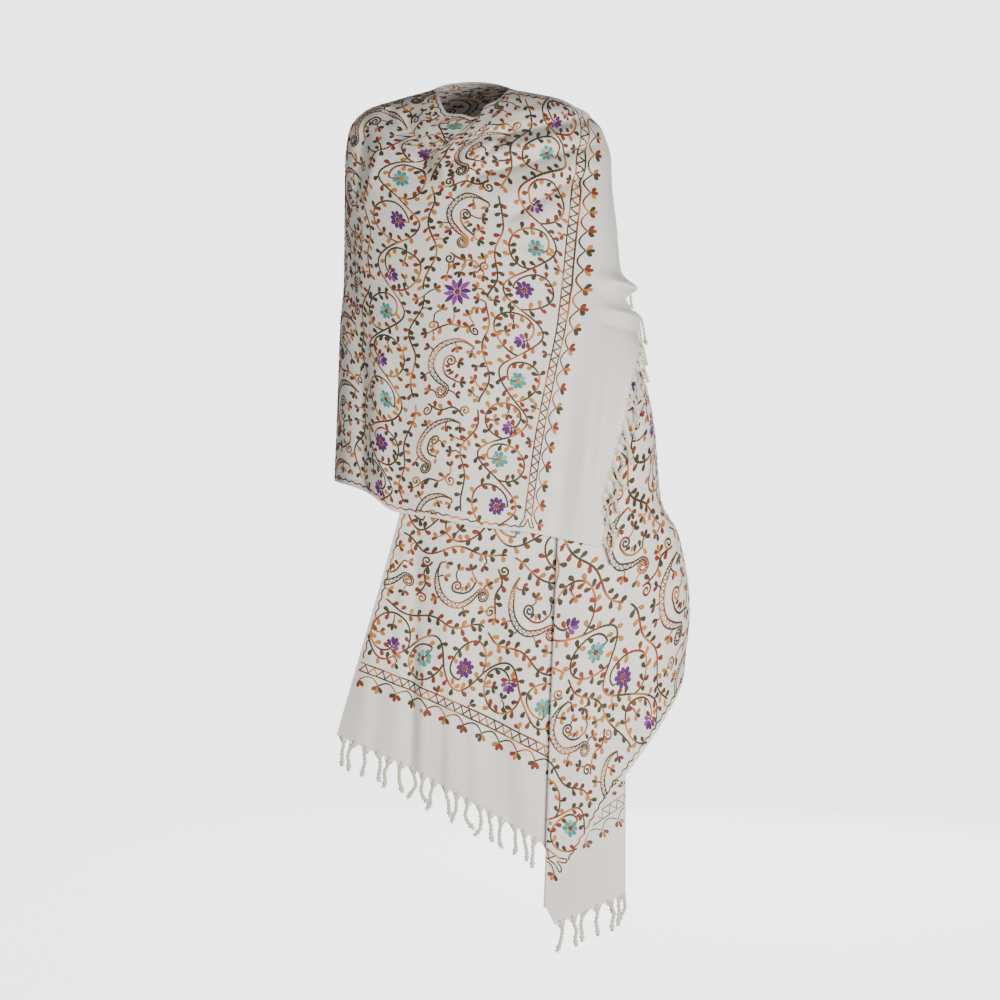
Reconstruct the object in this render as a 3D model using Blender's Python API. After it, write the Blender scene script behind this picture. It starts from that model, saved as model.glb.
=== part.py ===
"""An embroidered shawl, draped as it is worn: one long rectangle of wool with a fringe at each end.

Blender 4.5, metres, +Z up. The origin is the base of the wearer's neck, +X is the right of the picture,
and the front of the shawl faces -Y. From its front end the cloth runs over the chest, round one arm,
across the back and over the other shoulder, and its second end falls in front in one deep pleat.

The tables give places as they are seen on the upright plane y = 0 from VIEW_DISTANCE in front. `placed`
moves each point along its line of sight to its real depth.
"""

import math

import bmesh
import bpy
import numpy as np

# The cloth
WALL = 0.0014  # thickness of every cloth wall
SEAM = 0.0003  # gap between two pieces
FOLD_SEAM = 0.0008  # and where they part along a fold
LAYER = 0.005  # from one layer of the pleat to the next

# Where the tables are seen from
VIEW_DISTANCE = 3.2
VIEW_X = 0.04
VIEW_Z = -0.64

# The fringes
BACKING = 0.005  # depth of the strip that the tassels grow from
TASSEL_STEP = 0.0200
TASSEL_LENGTH = 0.046
TASSEL_WIDTH = 0.0030
TASSEL_RINGS = 4

# Grid lines on each stretch
BACK_COLUMNS = 26
FRONT_COLUMNS = 23
END_COLUMNS = 9
HIDDEN_ROWS = 14
SEEN_ROWS = 17
DENSE = 160

ROUNDNESS = 2.5  # exponent of the form's superellipse sections
NECK_HEIGHT = 0.0192  # where the wrap leaves the sides of the neck
SHOULDER_END = -0.1900  # the right side leans outwards down to here
LEFT_HEM = -0.6096
RIGHT_HEM = -0.9120


def table(names, rows):
    """One array for each named column."""
    return {name: np.array(values, float) for name, values in zip(names.split(), zip(*rows))}


# The form that the cloth lies on, a general figure: a row for each section, `drop` below the origin. Left
# and right are its sides, front and back its depths from the plane y = 0.
FORM = table(
    "drop left right front back",
    [
        (-0.0290, -0.058, 0.050, 0.010, 0.056),
        (-0.0192, -0.061, 0.053, 0.010, 0.060),
        (0.0000, -0.120, 0.130, 0.036, 0.070),
        (0.0160, -0.169, 0.160, 0.052, 0.079),
        (0.0320, -0.189, 0.175, 0.064, 0.086),
        (0.0480, -0.199, 0.186, 0.074, 0.092),
        (0.0960, -0.206, 0.202, 0.092, 0.104),
        (0.1900, -0.207, 0.205, 0.108, 0.118),
        (0.2900, -0.208, 0.214, 0.116, 0.124),
        (0.3600, -0.214, 0.238, 0.119, 0.124),
        (0.4400, -0.217, 0.268, 0.120, 0.121),
        (0.5280, -0.220, 0.286, 0.120, 0.117),
        (0.6400, -0.226, 0.296, 0.119, 0.112),
        (0.7000, -0.236, 0.326, 0.118, 0.110),
        (0.8160, -0.270, 0.342, 0.116, 0.108),
        (0.9120, -0.310, 0.334, 0.112, 0.105),
        (1.3200, -0.360, 0.334, 0.104, 0.100),
    ],
)

# Lines that bound the stretches.
NECK_FRONT = table(
    "x z",
    [
        (-0.061, 0.0192),
        (-0.053, -0.0080),
        (-0.043, -0.0224),
        (-0.021, -0.0240),
        (-0.002, -0.0288),
        (0.006, -0.0256),
        (0.016, -0.0112),
        (0.038, 0.0000),
        (0.056, 0.0150),
        (0.100, 0.0085),
        (0.136, 0.0005),
        (0.162, -0.0128),
    ],
)
NECK_BACK = table(
    "x z",
    [
        (0.053, 0.0192),
        (0.030, 0.0262),
        (-0.002, 0.0290),
        (-0.040, 0.0262),
        (-0.061, 0.0192),
    ],
)
LADDER = table(
    "x z",
    [
        (0.162, -0.0128),
        (0.174, -0.0480),
        (0.167, -0.1040),
        (0.156, -0.1840),
        (0.146, -0.2880),
        (0.138, -0.3600),
        (0.122, -0.4400),
        (0.102, -0.5440),
        (0.082, -0.6912),
    ],
)
FRONT_HEM = table(
    "x z",
    [
        (-0.224, -0.6096),
        (-0.174, -0.6272),
        (-0.126, -0.6592),
        (-0.069, -0.6672),
        (-0.003, -0.6816),
        (0.082, -0.6912),
    ],
)
BACK_HEM = table(
    "x z",
    [
        (0.334, -0.9120),
        (0.220, -0.8750),
        (0.050, -0.7750),
        (-0.080, -0.6660),
        (-0.160, -0.6170),
        (-0.224, -0.6096),
    ],
)

# The fringed edge of the front end, `down` it from the shoulder. Turn is the angle round the form from its
# front, past 90 degrees behind the arm.
END_EDGE = table(
    "down turn z",
    [
        (0.00, 138, -0.062),
        (0.25, 126, -0.190),
        (0.42, 106, -0.300),
        (0.50, 86, -0.360),
        (0.60, 55, -0.440),
        (0.75, 41, -0.550),
        (1.00, 26, -0.716),
    ],
)

# The rows of the wrap, closer over the shoulders and at the elbow ridges.
WRAP_ROWS = table("row down", [(0, 0.0), (7, 0.20), (11, 0.375), (17, 0.50), (27, 1.0)])

# How far the front lies off the form: it passes over the layers of the fallen end.
FRONT_LIFT = table(
    "down ladder fringe",
    [
        (0.0, 0.016, 0.014),
        (0.15, 0.016, 0.013),
        (0.30, 0.023, 0.019),
        (0.60, 0.022, 0.018),
        (1.00, 0.019, 0.017),
    ],
)
LIFT_REACH = 0.62  # share of the way to the ladder border over which the front rises off the form

# The fallen end, a row for each line down it: where it leaves the shoulder line (a share of the right
# side), where it is at the height of the front hem, and its foot.
HEM_HEIGHT = -0.690
FALL_LINES = {
    "free_edge": (0.000, -0.128, -0.221, -1.0160),
    "step": (0.030, -0.078, -0.101, -1.0700),
    "middle": (0.052, 0.040, 0.080, -1.1720),
    "outer_fold": (0.140, 0.134, 0.1110, -1.2920),
    "front_crease": (0.175, 0.226, 0.214, -1.1150),
    "side": (0.250, 0.296, 0.334, -0.9120),
}
INNER_FOOT = -1.2720
CORNER_FOOT = -1.3200
CORNER_SHARE = 0.89  # of the middle layer's width

# The pleat: from the drop `down`, how far its cloth has turned over and how wide its middle layer is.
PLEAT = table(
    "drop turn width",
    [
        (0.050, 0, 0.005),
        (0.150, 45, 0.005),
        (0.280, 110, 0.007),
        (0.400, 170, 0.024),
        (0.520, 180, 0.050),
        (0.690, 180, 0.078),
        (1.000, 180, 0.114),
        (1.300, 180, 0.126),
    ],
)
TURN_LENGTH = math.pi * LAYER / 2
PANEL_COLUMNS = {"free_edge": 4, "step": 6, "middle": 6}
TURN_COLUMNS = 6
RETURN_COLUMNS = 5
CREASE_COLUMNS = 5
SIDE_COLUMNS = 8

# Folds, a row for each: the line that it follows, its height off the form (a trough is below it) and its
# half width.
FOLD_NAMES = "x z to_x to_z height width"
FRONT_FOLDS = table(
    FOLD_NAMES,
    [
        (0.170, -0.060, 0.010, -0.082, 0.0070, 0.017),
        (0.176, -0.102, 0.050, -0.150, 0.0065, 0.018),
        (0.170, -0.150, 0.092, -0.204, 0.0050, 0.020),
        (-0.056, -0.050, -0.090, -0.120, -0.0060, 0.019),
        (-0.030, -0.055, -0.024, -0.130, 0.0040, 0.018),
        (-0.120, -0.040, -0.165, -0.140, 0.0040, 0.020),
        (-0.181, -0.340, -0.181, -0.620, -0.0060, 0.016),
        (-0.150, -0.400, -0.146, -0.640, 0.0050, 0.018),
        (0.184, -0.286, 0.276, -0.326, 0.0175, 0.013),
        (0.184, -0.332, 0.262, -0.362, 0.0080, 0.011),
        (0.140, -0.520, 0.132, -0.720, -0.0040, 0.016),
        (0.170, -0.450, 0.168, -0.720, 0.0050, 0.016),
    ],
)
BACK_FOLDS = table(
    FOLD_NAMES,
    [
        (0.150, -0.060, -0.080, -0.220, 0.0080, 0.022),
        (0.170, -0.120, -0.040, -0.330, 0.0090, 0.026),
        (0.196, -0.230, 0.010, -0.460, 0.0090, 0.028),
        (0.220, -0.380, 0.060, -0.620, 0.0080, 0.030),
        (-0.150, -0.150, -0.120, -0.560, 0.0060, 0.026),
        (0.262, -0.560, 0.150, -0.780, 0.0080, 0.028),
        (-0.060, -0.420, -0.020, -0.680, -0.0060, 0.024),
    ],
)
FALL_FOLDS = table(
    FOLD_NAMES,
    [
        (-0.150, -0.740, -0.180, -1.000, 0.0060, 0.020),
        (-0.094, -0.700, -0.104, -1.060, -0.0060, 0.012),
        (-0.050, -0.740, -0.040, -1.100, 0.0060, 0.022),
        (0.010, -0.740, 0.030, -1.140, -0.0050, 0.022),
        (0.070, -0.780, 0.084, -1.180, 0.0040, 0.018),
        (0.232, -0.720, 0.232, -0.820, -0.0050, 0.012),
        (0.268, -0.720, 0.262, -0.960, 0.0050, 0.014),
        (0.170, -0.780, 0.160, -1.160, 0.0040, 0.018),
    ],
)

# Colours, as the photo shows them
WOOL = (0.84, 0.81, 0.75, 1)
PLAIN_WOOL = (0.88, 0.86, 0.81, 1)
FRINGE_WOOL = (0.82, 0.79, 0.71, 1)


def smooth(knots, values, at):
    """A cubic through the knots that never overshoots them."""
    knots, values = np.asarray(knots, float), np.asarray(values, float)
    step = np.diff(knots)
    slope = np.diff(values) / step
    product = slope[:-1] * slope[1:]
    total = slope[:-1] + slope[1:]
    inner = np.where(product > 0, 2 * product / np.where(total == 0, 1, total), 0)
    tangent = np.concatenate([slope[:1], inner, slope[-1:]])
    at = np.clip(at, knots[0], knots[-1])
    i = np.clip(np.searchsorted(knots, at, side="right") - 1, 0, len(step) - 1)
    f = (at - knots[i]) / step[i]
    blend = f * f * (3 - 2 * f)
    bend = f * (1 - f) * ((1 - f) * tangent[i] - f * tangent[i + 1]) * step[i]
    return values[i] * (1 - blend) + values[i + 1] * blend + bend


def ease(share):
    """0 to 1 with level ends."""
    share = np.clip(share, 0, 1)
    return share * share * (3 - 2 * share)


def lengths(points):
    """Distance along a row of points, from its first."""
    return np.concatenate([[0], np.cumsum(np.linalg.norm(np.diff(points, axis=0), axis=1))])


def along_points(points, share):
    """Smooth places at a share of the length of a row of (x, z) points."""
    run = lengths(points)
    return np.stack([smooth(run, points[:, k], share * run[-1]) for k in (0, 1)], axis=-1)


def along(line, share):
    return along_points(np.column_stack([line["x"], line["z"]]), share)


def form(name, z):
    return smooth(FORM["drop"], FORM[name], -np.asarray(z, float))


def side(name, foot, share):
    """(x, z) at a share of the form's left or right side, from the neck down to `foot`."""
    z = NECK_HEIGHT + (foot - NECK_HEIGHT) * np.linspace(0, 1, DENSE) ** 1.5
    points = np.column_stack([form(name, z), z])
    run = lengths(points)
    seen_z = np.interp(share * run[-1], run, z)
    return np.stack([form(name, seen_z), seen_z], axis=-1)


def fold_height(rows, x, z):
    """How far the folds move the cloth off the form at a seen place."""
    total = np.zeros_like(x)
    for x0, z0, x1, z1, height, width in zip(*rows.values()):
        run_x, run_z = x1 - x0, z1 - z0
        size = math.hypot(run_x, run_z)
        share = ((x - x0) * run_x + (z - z0) * run_z) / size**2
        aside = ((x - x0) * run_z - (z - z0) * run_x) / size
        ends = ease((share + 0.2) / 0.4) * ease((1.25 - share) / 0.4)
        total += height * np.exp(-((aside / width) ** 2)) * ends
    return total


def placed(x, z, y):
    """The point that is seen at x, z, at depth y."""
    scale = (VIEW_DISTANCE + y) / VIEW_DISTANCE
    return np.stack([VIEW_X + (x - VIEW_X) * scale, y + 0 * x, VIEW_Z + (z - VIEW_Z) * scale], axis=-1)


def on_form(x, z, lift, facing):
    """The point seen at x, z on the form's front (facing -1) or back (facing 1), `lift` outside it."""
    left, right = form("left", z), form("right", z)
    depth = form("front" if facing < 0 else "back", z) + lift
    across = np.clip(np.abs(x - (left + right) / 2) / ((right - left) / 2 + lift), 0, 1)
    return placed(x, z, facing * depth * (1 - across**ROUNDNESS) ** (1 / ROUNDNESS))


def patch(first, last, top, bottom, across, down):
    """Places between four lines: the first and last columns, and the top and bottom rows."""
    a, d = across[:, None], down
    corners = (1 - a) * ((1 - d) * top[0] + d * bottom[0]) + a * ((1 - d) * top[-1] + d * bottom[-1])
    return (1 - a) * first + a * last + (1 - d) * top + d * bottom - corners


def along_row(run, row, at):
    """Places on straight lines between the points of a row, at the distances `at` along it."""
    return np.stack([np.interp(at, run, row[:, k]) for k in range(3)], axis=-1)


def evened(row, count):
    """The row with its points at equal distances."""
    run = lengths(row)
    return along_row(run, row, np.linspace(0, run[-1], count))


def back_row(down):
    """From the shoulder line round the back to the left side."""
    across = ease(np.linspace(0, 1, DENSE))
    first, last = side("right", RIGHT_HEM, down), side("left", LEFT_HEM, down)
    seen = patch(first, last, along(NECK_BACK, across), along(BACK_HEM, across), across, down)
    x, z = seen.T
    lift = fold_height(BACK_FOLDS, x, z) * ease(across / 0.15) * ease((1 - across) / 0.15)
    return evened(on_form(x, z, lift, 1), BACK_COLUMNS)


def front_row(down):
    """From the left side across the chest to the ladder border."""
    across = np.linspace(0, 1, DENSE) ** 2
    first, last = side("left", LEFT_HEM, down), along(LADDER, down)
    seen = patch(first, last, along(NECK_FRONT, across), along(FRONT_HEM, across), across, down)
    x, z = seen.T
    lift = smooth(FRONT_LIFT["down"], FRONT_LIFT["ladder"], down) * ease(across / LIFT_REACH)
    lift = lift + fold_height(FRONT_FOLDS, x, z) * ease(across / 0.04)
    return evened(on_form(x, z, lift, -1), FRONT_COLUMNS)


def end_row(down):
    """From the ladder border to the fringed edge of the front end."""
    share = np.linspace(0, 1, DENSE)
    first_lift = smooth(FRONT_LIFT["down"], FRONT_LIFT["ladder"], down)
    last_lift = smooth(FRONT_LIFT["down"], FRONT_LIFT["fringe"], down)
    x, z = along(LADDER, down)
    base = first_lift + fold_height(FRONT_FOLDS, np.array([x]), np.array([z]))[0]
    left, right = form("left", z), form("right", z)
    start = math.asin(min(1, (x - (left + right) / 2) / ((right - left) / 2 + base)) ** (ROUNDNESS / 2))
    turn = start + (math.radians(smooth(END_EDGE["down"], END_EDGE["turn"], down)) - start) * share
    z = z + (smooth(END_EDGE["down"], END_EDGE["z"], down) - z) * share
    left, right = form("left", z), form("right", z)
    swing = np.sin(turn) ** (2 / ROUNDNESS)
    lift = first_lift + (last_lift - first_lift) * share
    lift = lift + fold_height(FRONT_FOLDS, (left + right) / 2 + (right - left) / 2 * swing, z)
    seen_x = (left + right) / 2 + ((right - left) / 2 + lift) * swing
    depth = np.where(turn < math.pi / 2, form("front", z), form("back", z)) + lift
    y = -np.sign(np.cos(turn)) * depth * np.abs(np.cos(turn)) ** (2 / ROUNDNESS)
    return evened(placed(seen_x, z, y), END_COLUMNS)


def wrap_grid():
    """From the shoulder line round the back, the left side and the chest to the fringe, a row for each
    share of the way from neck to hem."""
    downs = smooth(WRAP_ROWS["row"], WRAP_ROWS["down"], np.arange(WRAP_ROWS["row"][-1] + 1))
    return np.array([np.concatenate([back_row(d)[:-1], front_row(d)[:-1], end_row(d)]) for d in downs])


def fall_line(name, share):
    """(x, z) at a share of the way down one line of the fallen end."""
    leaves, hem_x, foot_x, foot_z = FALL_LINES[name]
    top_x, top_z = side("right", RIGHT_HEM, leaves)
    z = top_z + (foot_z - top_z) * share
    if name == "side":
        return form("right", z), z
    return smooth((-top_z, -HEM_HEIGHT, -foot_z), (top_x, hem_x, foot_x), -z), z


def bend(angle, share):
    """(along, off) of a stretch TURN_LENGTH long that bends through an angle, at shares of its length."""
    turned = np.maximum(angle * share, 1e-6)
    return TURN_LENGTH * share * np.sin(turned) / turned, TURN_LENGTH * share * (1 - np.cos(turned)) / turned


def straight(start, end, count):
    """Places from start to end, the last one left out."""
    return np.array(start) + (np.array(end) - np.array(start)) * (np.arange(count) / count)[:, None]


def pleat_places(outer_x, outer_z, inner_z, corner_z):
    """(x, z, lift) over the pleat, from the panel below it, round both folds, to the front layer."""
    angle = math.radians(smooth(PLEAT["drop"], PLEAT["turn"], -outer_z))
    width = smooth(PLEAT["drop"], PLEAT["width"], -outer_z)
    arc = np.linspace(0, 1, TURN_COLUMNS + 1)
    run, rise = bend(angle, arc)
    run_x, run_lift = width * math.cos(angle), width * math.sin(angle)
    end_lift = 2 * rise[-1] + run_lift
    end_x = outer_x + LAYER / 2
    start_x = end_x - 2 * run[-1] - run_x
    first = np.column_stack([start_x + run, inner_z + 0 * run, rise])
    back_run, back_rise = bend(angle, arc[::-1])
    last = np.column_stack([end_x - back_run, outer_z + 0 * run, end_lift - back_rise])
    corner = first[-1] + (last[0] - first[-1]) * CORNER_SHARE
    corner[1] = corner_z
    middle = straight(first[-1], corner, RETURN_COLUMNS)[1:]
    return np.concatenate([first, middle, [corner], last])


def fall_row(share):
    """A row over the fallen end, from its free long edge to the side where it turns to the back."""
    places = {name: fall_line(name, share) for name in FALL_LINES}
    outer_x, outer_z = places["outer_fold"]
    top_z = side("right", RIGHT_HEM, FALL_LINES["outer_fold"][0])[1]
    inner_z = top_z + (INNER_FOOT - top_z) * share
    corner_z = top_z + (CORNER_FOOT - top_z) * share
    pleat = pleat_places(outer_x, outer_z, inner_z, corner_z)
    rows = []
    flat = [(*places[name], 0) for name in PANEL_COLUMNS] + [tuple(pleat[0])]
    for (start, end), count in zip(zip(flat[:-1], flat[1:]), PANEL_COLUMNS.values()):
        rows.append(straight(start, end, count))
    rows.append(pleat)
    crease = (*places["front_crease"], pleat[-1][2])
    rows.append(straight(pleat[-1], crease, CREASE_COLUMNS)[1:])
    step = np.arange(SIDE_COLUMNS + 1) / SIDE_COLUMNS
    side_x, side_z = places["side"]
    run = 1 - (1 - step) ** 2
    z_run = (step + run) / 2
    x = crease[0] + (side_x - crease[0]) * run
    rows.append(np.column_stack([x, crease[1] + (side_z - crease[1]) * z_run, crease[2] * (1 - ease(step))]))
    x, z, lift = np.concatenate(rows).T
    if share == 0:
        heights = np.linspace(NECK_HEIGHT, SHOULDER_END, DENSE)
        z = np.interp(x, form("right", heights), heights)
        x = form("right", z)
    lift = lift + fold_height(FALL_FOLDS, x, z) * ease((form("right", z) - x) / 0.03)
    return on_form(x, z, lift, -1)


def fall_grid():
    hidden = 0.5 * np.linspace(0, 1, HIDDEN_ROWS) ** 1.8
    return np.array([fall_row(share) for share in [*hidden, *np.linspace(0.5, 1, SEEN_ROWS + 1)[1:]]])


def normals_of(grid):
    """Unit normals on the cloth's face side."""
    normals = np.cross(np.gradient(grid, axis=0), np.gradient(grid, axis=1))
    return normals / np.linalg.norm(normals, axis=2, keepdims=True)


def side_normals(points):
    """Unit normals at a line of the form's right side, where every section runs front to back."""
    normals = np.cross(np.gradient(points, axis=0), (0, 1, 0))
    return normals / np.linalg.norm(normals, axis=1, keepdims=True)


def pulled_in(grid, edge, distance):
    """The grid with one edge moved towards the line beside it."""
    grid = grid.copy()
    here, beside = {
        "first": (np.s_[:, 0], np.s_[:, 1]),
        "last": (np.s_[:, -1], np.s_[:, -2]),
        "top": (np.s_[0], np.s_[1]),
        "foot": (np.s_[-1], np.s_[-2]),
    }[edge]
    way = grid[beside] - grid[here]
    way /= np.linalg.norm(way, axis=1, keepdims=True)
    grid[here] = grid[here] + way * np.reshape(distance, (-1, 1))
    return grid


def halves(grid, ring):
    """A quad of the grid as two triangles, split along its shorter diagonal: both sides of a wall match."""
    a, b, c, d = (grid[at] for at in ring)
    if np.linalg.norm(a - c) > np.linalg.norm(b - d):
        ring = ring[1:] + ring[:1]
    return (ring[0], ring[1], ring[2]), (ring[0], ring[2], ring[3])


def wall_faces(grid):
    """Faces of a closed wall whose inside points come first, then its outside points."""
    rows, columns = grid.shape[:2]
    inside = np.arange(rows * columns).reshape(rows, columns)
    outside = inside + rows * columns
    faces = []
    for r in range(rows - 1):
        for c in range(columns - 1):
            for corners in halves(grid, [(r, c), (r + 1, c), (r + 1, c + 1), (r, c + 1)]):
                faces.append([outside[at] for at in corners])
                faces.append([inside[at] for at in corners[::-1]])
    rim = [(0, c) for c in range(columns)] + [(r, columns - 1) for r in range(1, rows)]
    rim += [(rows - 1, c) for c in range(columns - 2, -1, -1)] + [(r, 0) for r in range(rows - 2, 0, -1)]
    for here, there in zip(rim, rim[1:] + rim[:1]):
        faces.append([outside[here], outside[there], inside[there], inside[here]])
    return faces


def material(name, colour):
    made = bpy.data.materials.new(name)
    made.use_nodes = True
    shader = made.node_tree.nodes["Principled BSDF"]
    shader.inputs["Base Color"].default_value = colour
    shader.inputs["Roughness"].default_value = 0.9
    return made


def add_mesh(name, points, faces, colour):
    """A closed mesh with its faces turned outwards."""
    mesh = bpy.data.meshes.new(name)
    mesh.from_pydata([tuple(map(float, p)) for p in points], [], [[int(i) for i in face] for face in faces])
    work = bmesh.new()
    work.from_mesh(mesh)
    bmesh.ops.recalc_face_normals(work, faces=work.faces)
    work.to_mesh(mesh)
    work.free()
    mesh.materials.append(material(name + "_cloth", colour))
    mesh.shade_smooth()
    made = bpy.data.objects.new(name, mesh)
    bpy.context.scene.collection.objects.link(made)


def add_wall(name, grid, normals, colour):
    points = np.concatenate([grid.reshape(-1, 3), (grid + normals * WALL).reshape(-1, 3)])
    add_mesh(name, points, wall_faces(grid), colour)


def tassel_rings(root, out, normal, turn, droop, lean):
    """Rings of four points along a tassel that leaves its root outwards and hangs down."""
    down = np.array([0, 0, -1.0])
    rings = []
    centre = root
    for ring in range(1, TASSEL_RINGS + 1):
        share = ring / TASSEL_RINGS
        way = out * (1 - droop * share) + down * droop * (0.4 + share) + normal * lean
        sway = 0.22 * math.sin(2.3 * ring + 1.7 * turn)
        way = way + sway * np.cross(normal, down)
        way /= np.linalg.norm(way)
        centre = centre + way * TASSEL_LENGTH / TASSEL_RINGS
        aside = np.cross(normal, way)
        aside /= np.linalg.norm(aside)
        facing = np.cross(way, aside)
        size = TASSEL_WIDTH / 2 * (1.25 if ring == TASSEL_RINGS - 1 else 1)
        corners = ((-1, -1), (-1, 1), (1, 1), (1, -1))
        rings.append([centre + (aside * a + facing * f) * size for a, f in corners])
    return rings


def add_fringe(name, edge, inner, normals, droop, lean=0, ends=(0.5, 0.5)):
    """A strip along a cloth edge with tassels grown from it. `inner` is the edge of the cloth that it is
    parted from, and `ends` are the distances, in steps, of the outer tassels from the strip's ends."""
    run = lengths(edge)
    count = int(round(run[-1] / TASSEL_STEP - sum(ends))) + 1
    roots = np.linspace(ends[0], ends[0] + count - 1, count)
    roots = roots / (count - 1 + sum(ends)) * run[-1]
    pairs = np.ravel(np.column_stack([roots - TASSEL_WIDTH / 2, roots + TASSEL_WIDTH / 2]))
    apart = [at for at in run if np.abs(pairs - at).min() > TASSEL_WIDTH / 2]
    stops = np.unique(np.concatenate([[SEAM, run[-1] - SEAM], apart[1:-1], pairs]))
    *rows, lift = (along_row(run, line, stops) for line in (inner, edge, normals))
    grid = np.array(rows)
    lift *= WALL / np.linalg.norm(lift, axis=1, keepdims=True)
    points = [*grid.reshape(-1, 3), *(grid + lift).reshape(-1, 3)]
    columns = len(stops)
    faces = wall_faces(grid)
    for turn, root in enumerate(roots):
        a = int(np.abs(stops - (root - TASSEL_WIDTH / 2)).argmin())
        ring = [columns + a, 3 * columns + a, 3 * columns + a + 1, columns + a + 1]
        faces = [face for face in faces if set(face) != set(ring)]
        centre = sum(np.array(points[i]) for i in ring) / 4
        out = grid[1, a] - grid[0, a]
        out /= np.linalg.norm(out)
        normal = lift[a] / WALL
        across = grid[1, a + 1] - grid[1, a]
        flip = np.dot(np.cross(normal, out), across) < 0
        for corners in tassel_rings(centre, out, normal, turn, droop, lean):
            first = len(points)
            points.extend(corners[i] for i in ((3, 2, 1, 0) if flip else (0, 1, 2, 3)))
            fresh = [first, first + 1, first + 2, first + 3]
            faces.extend([ring[i], ring[i - 1], fresh[i - 1], fresh[i]] for i in range(4))
            ring = fresh
        faces.append(ring)
    add_mesh(name, points, faces, FRINGE_WOOL)


def build_wrap():
    grid = wrap_grid()
    normals = normals_of(grid)
    normals[:, 0] = side_normals(grid[:, 0])
    side_column = BACK_COLUMNS - 1
    ladder_column = side_column + FRONT_COLUMNS - 1
    back = np.s_[:, : side_column + 1]
    front = np.s_[:, side_column : ladder_column + 1]
    end = np.s_[:, ladder_column:]
    back_cloth = pulled_in(pulled_in(grid[back], "last", SEAM / 2), "first", 2 * SEAM)
    add_wall("back_wrap", back_cloth, normals[back], WOOL)
    front_cloth = pulled_in(pulled_in(grid[front], "first", SEAM / 2), "last", SEAM / 2)
    add_wall("front_wrap", front_cloth, normals[front], WOOL)
    fringe_inner = pulled_in(grid[end], "last", BACKING)[:, -1]
    end_cloth = pulled_in(pulled_in(grid[end], "first", SEAM / 2), "last", BACKING + 2 * SEAM)
    add_wall("front_end", end_cloth, normals[end], PLAIN_WOOL)
    add_fringe("front_end_fringe", grid[:, -1], fringe_inner, normals[:, -1], 0.75, 0.2, (0.6, 0.8))


def build_fall():
    grid = fall_grid()
    normals = normals_of(grid)
    normals[:, -1] = side_normals(grid[:, -1])
    normals[0] = side_normals(grid[0])
    grid = pulled_in(pulled_in(grid, "top", SEAM), "last", SEAM)
    inner_fold = sum(PANEL_COLUMNS.values()) + TURN_COLUMNS // 2
    corner = sum(PANEL_COLUMNS.values()) + TURN_COLUMNS + RETURN_COLUMNS
    outer_fold = corner + 1 + TURN_COLUMNS // 2
    fringe_inner = pulled_in(grid, "foot", BACKING)[-1]
    columns = np.arange(grid.shape[1])
    cloth = pulled_in(grid, "foot", np.where(columns <= corner, BACKING + SEAM, 0))
    panel = np.s_[:, : inner_fold + 1]
    middle = np.s_[:, inner_fold : outer_fold + 1]
    front = np.s_[:, outer_fold:]
    add_wall("fall_panel", pulled_in(cloth[panel], "last", FOLD_SEAM / 2), normals[panel], WOOL)
    middle_cloth = pulled_in(pulled_in(cloth[middle], "first", FOLD_SEAM / 2), "last", FOLD_SEAM / 2)
    add_wall("fall_return", middle_cloth, normals[middle], WOOL)
    add_wall("fall_front", pulled_in(cloth[front], "first", FOLD_SEAM / 2), normals[front], WOOL)
    feet = {
        "fall_panel_fringe": np.s_[: inner_fold + 1],
        "fall_return_fringe": np.s_[inner_fold : corner + 1],
    }
    for name, span in feet.items():
        add_fringe(name, grid[-1][span], fringe_inner[span], normals[-1][span], 0.9, -0.12)


def main():
    for old in list(bpy.data.objects):
        bpy.data.objects.remove(old)
    build_wrap()
    build_fall()


main()
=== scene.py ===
"""Looks for an embroidered shawl draped as it is worn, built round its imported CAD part.

Metres, +Z up, the same frame as the part. Left and right are the picture's. Each stretch of the cloth is a
thin shell on the form of its solid. The embroidery is laid out on the flat cloth, in (s, t): s runs from the
neck edge (0) to the hem (CLOTH_WIDTH), and t along the cloth, 0 at its left side, negative towards the front
end and positive over the back and down the fallen end. `Drape` carries it onto the draped shells.
"""

import math

import bpy
import mathutils
import numpy as np
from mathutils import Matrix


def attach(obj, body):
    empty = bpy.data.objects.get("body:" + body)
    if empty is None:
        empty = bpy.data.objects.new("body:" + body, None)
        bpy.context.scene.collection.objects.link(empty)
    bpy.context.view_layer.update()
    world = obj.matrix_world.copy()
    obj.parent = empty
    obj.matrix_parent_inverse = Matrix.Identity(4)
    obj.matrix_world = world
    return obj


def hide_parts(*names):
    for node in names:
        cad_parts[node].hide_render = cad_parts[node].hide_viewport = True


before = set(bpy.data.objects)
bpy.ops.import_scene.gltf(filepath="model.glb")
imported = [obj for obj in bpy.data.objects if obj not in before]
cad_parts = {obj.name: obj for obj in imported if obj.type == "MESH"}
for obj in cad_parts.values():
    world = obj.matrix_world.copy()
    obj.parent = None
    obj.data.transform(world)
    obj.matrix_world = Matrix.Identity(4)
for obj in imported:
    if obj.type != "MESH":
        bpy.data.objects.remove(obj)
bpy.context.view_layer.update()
rng = np.random.default_rng(7)

# ---------------------------------------------------------------- sizes of the part, in its own frame
WALL = 0.0014
LAYER = 0.005  # from one layer of the pleat to the next
VIEW_DISTANCE = 3.2  # of the camera, from which the tables' x and z are seen
VIEW_X = 0.04
VIEW_Z = -0.64
TASSEL_STEP = 0.0200
TASSEL_LENGTH = 0.046
DENSE = 160  # points on a row before they are evened
ROUNDNESS = 2.5  # of the form's sections, 2 being an ellipse
NECK_HEIGHT = 0.0192
SHOULDER_END = -0.1900
LEFT_HEM = -0.6096
RIGHT_HEM = -0.9120

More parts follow.
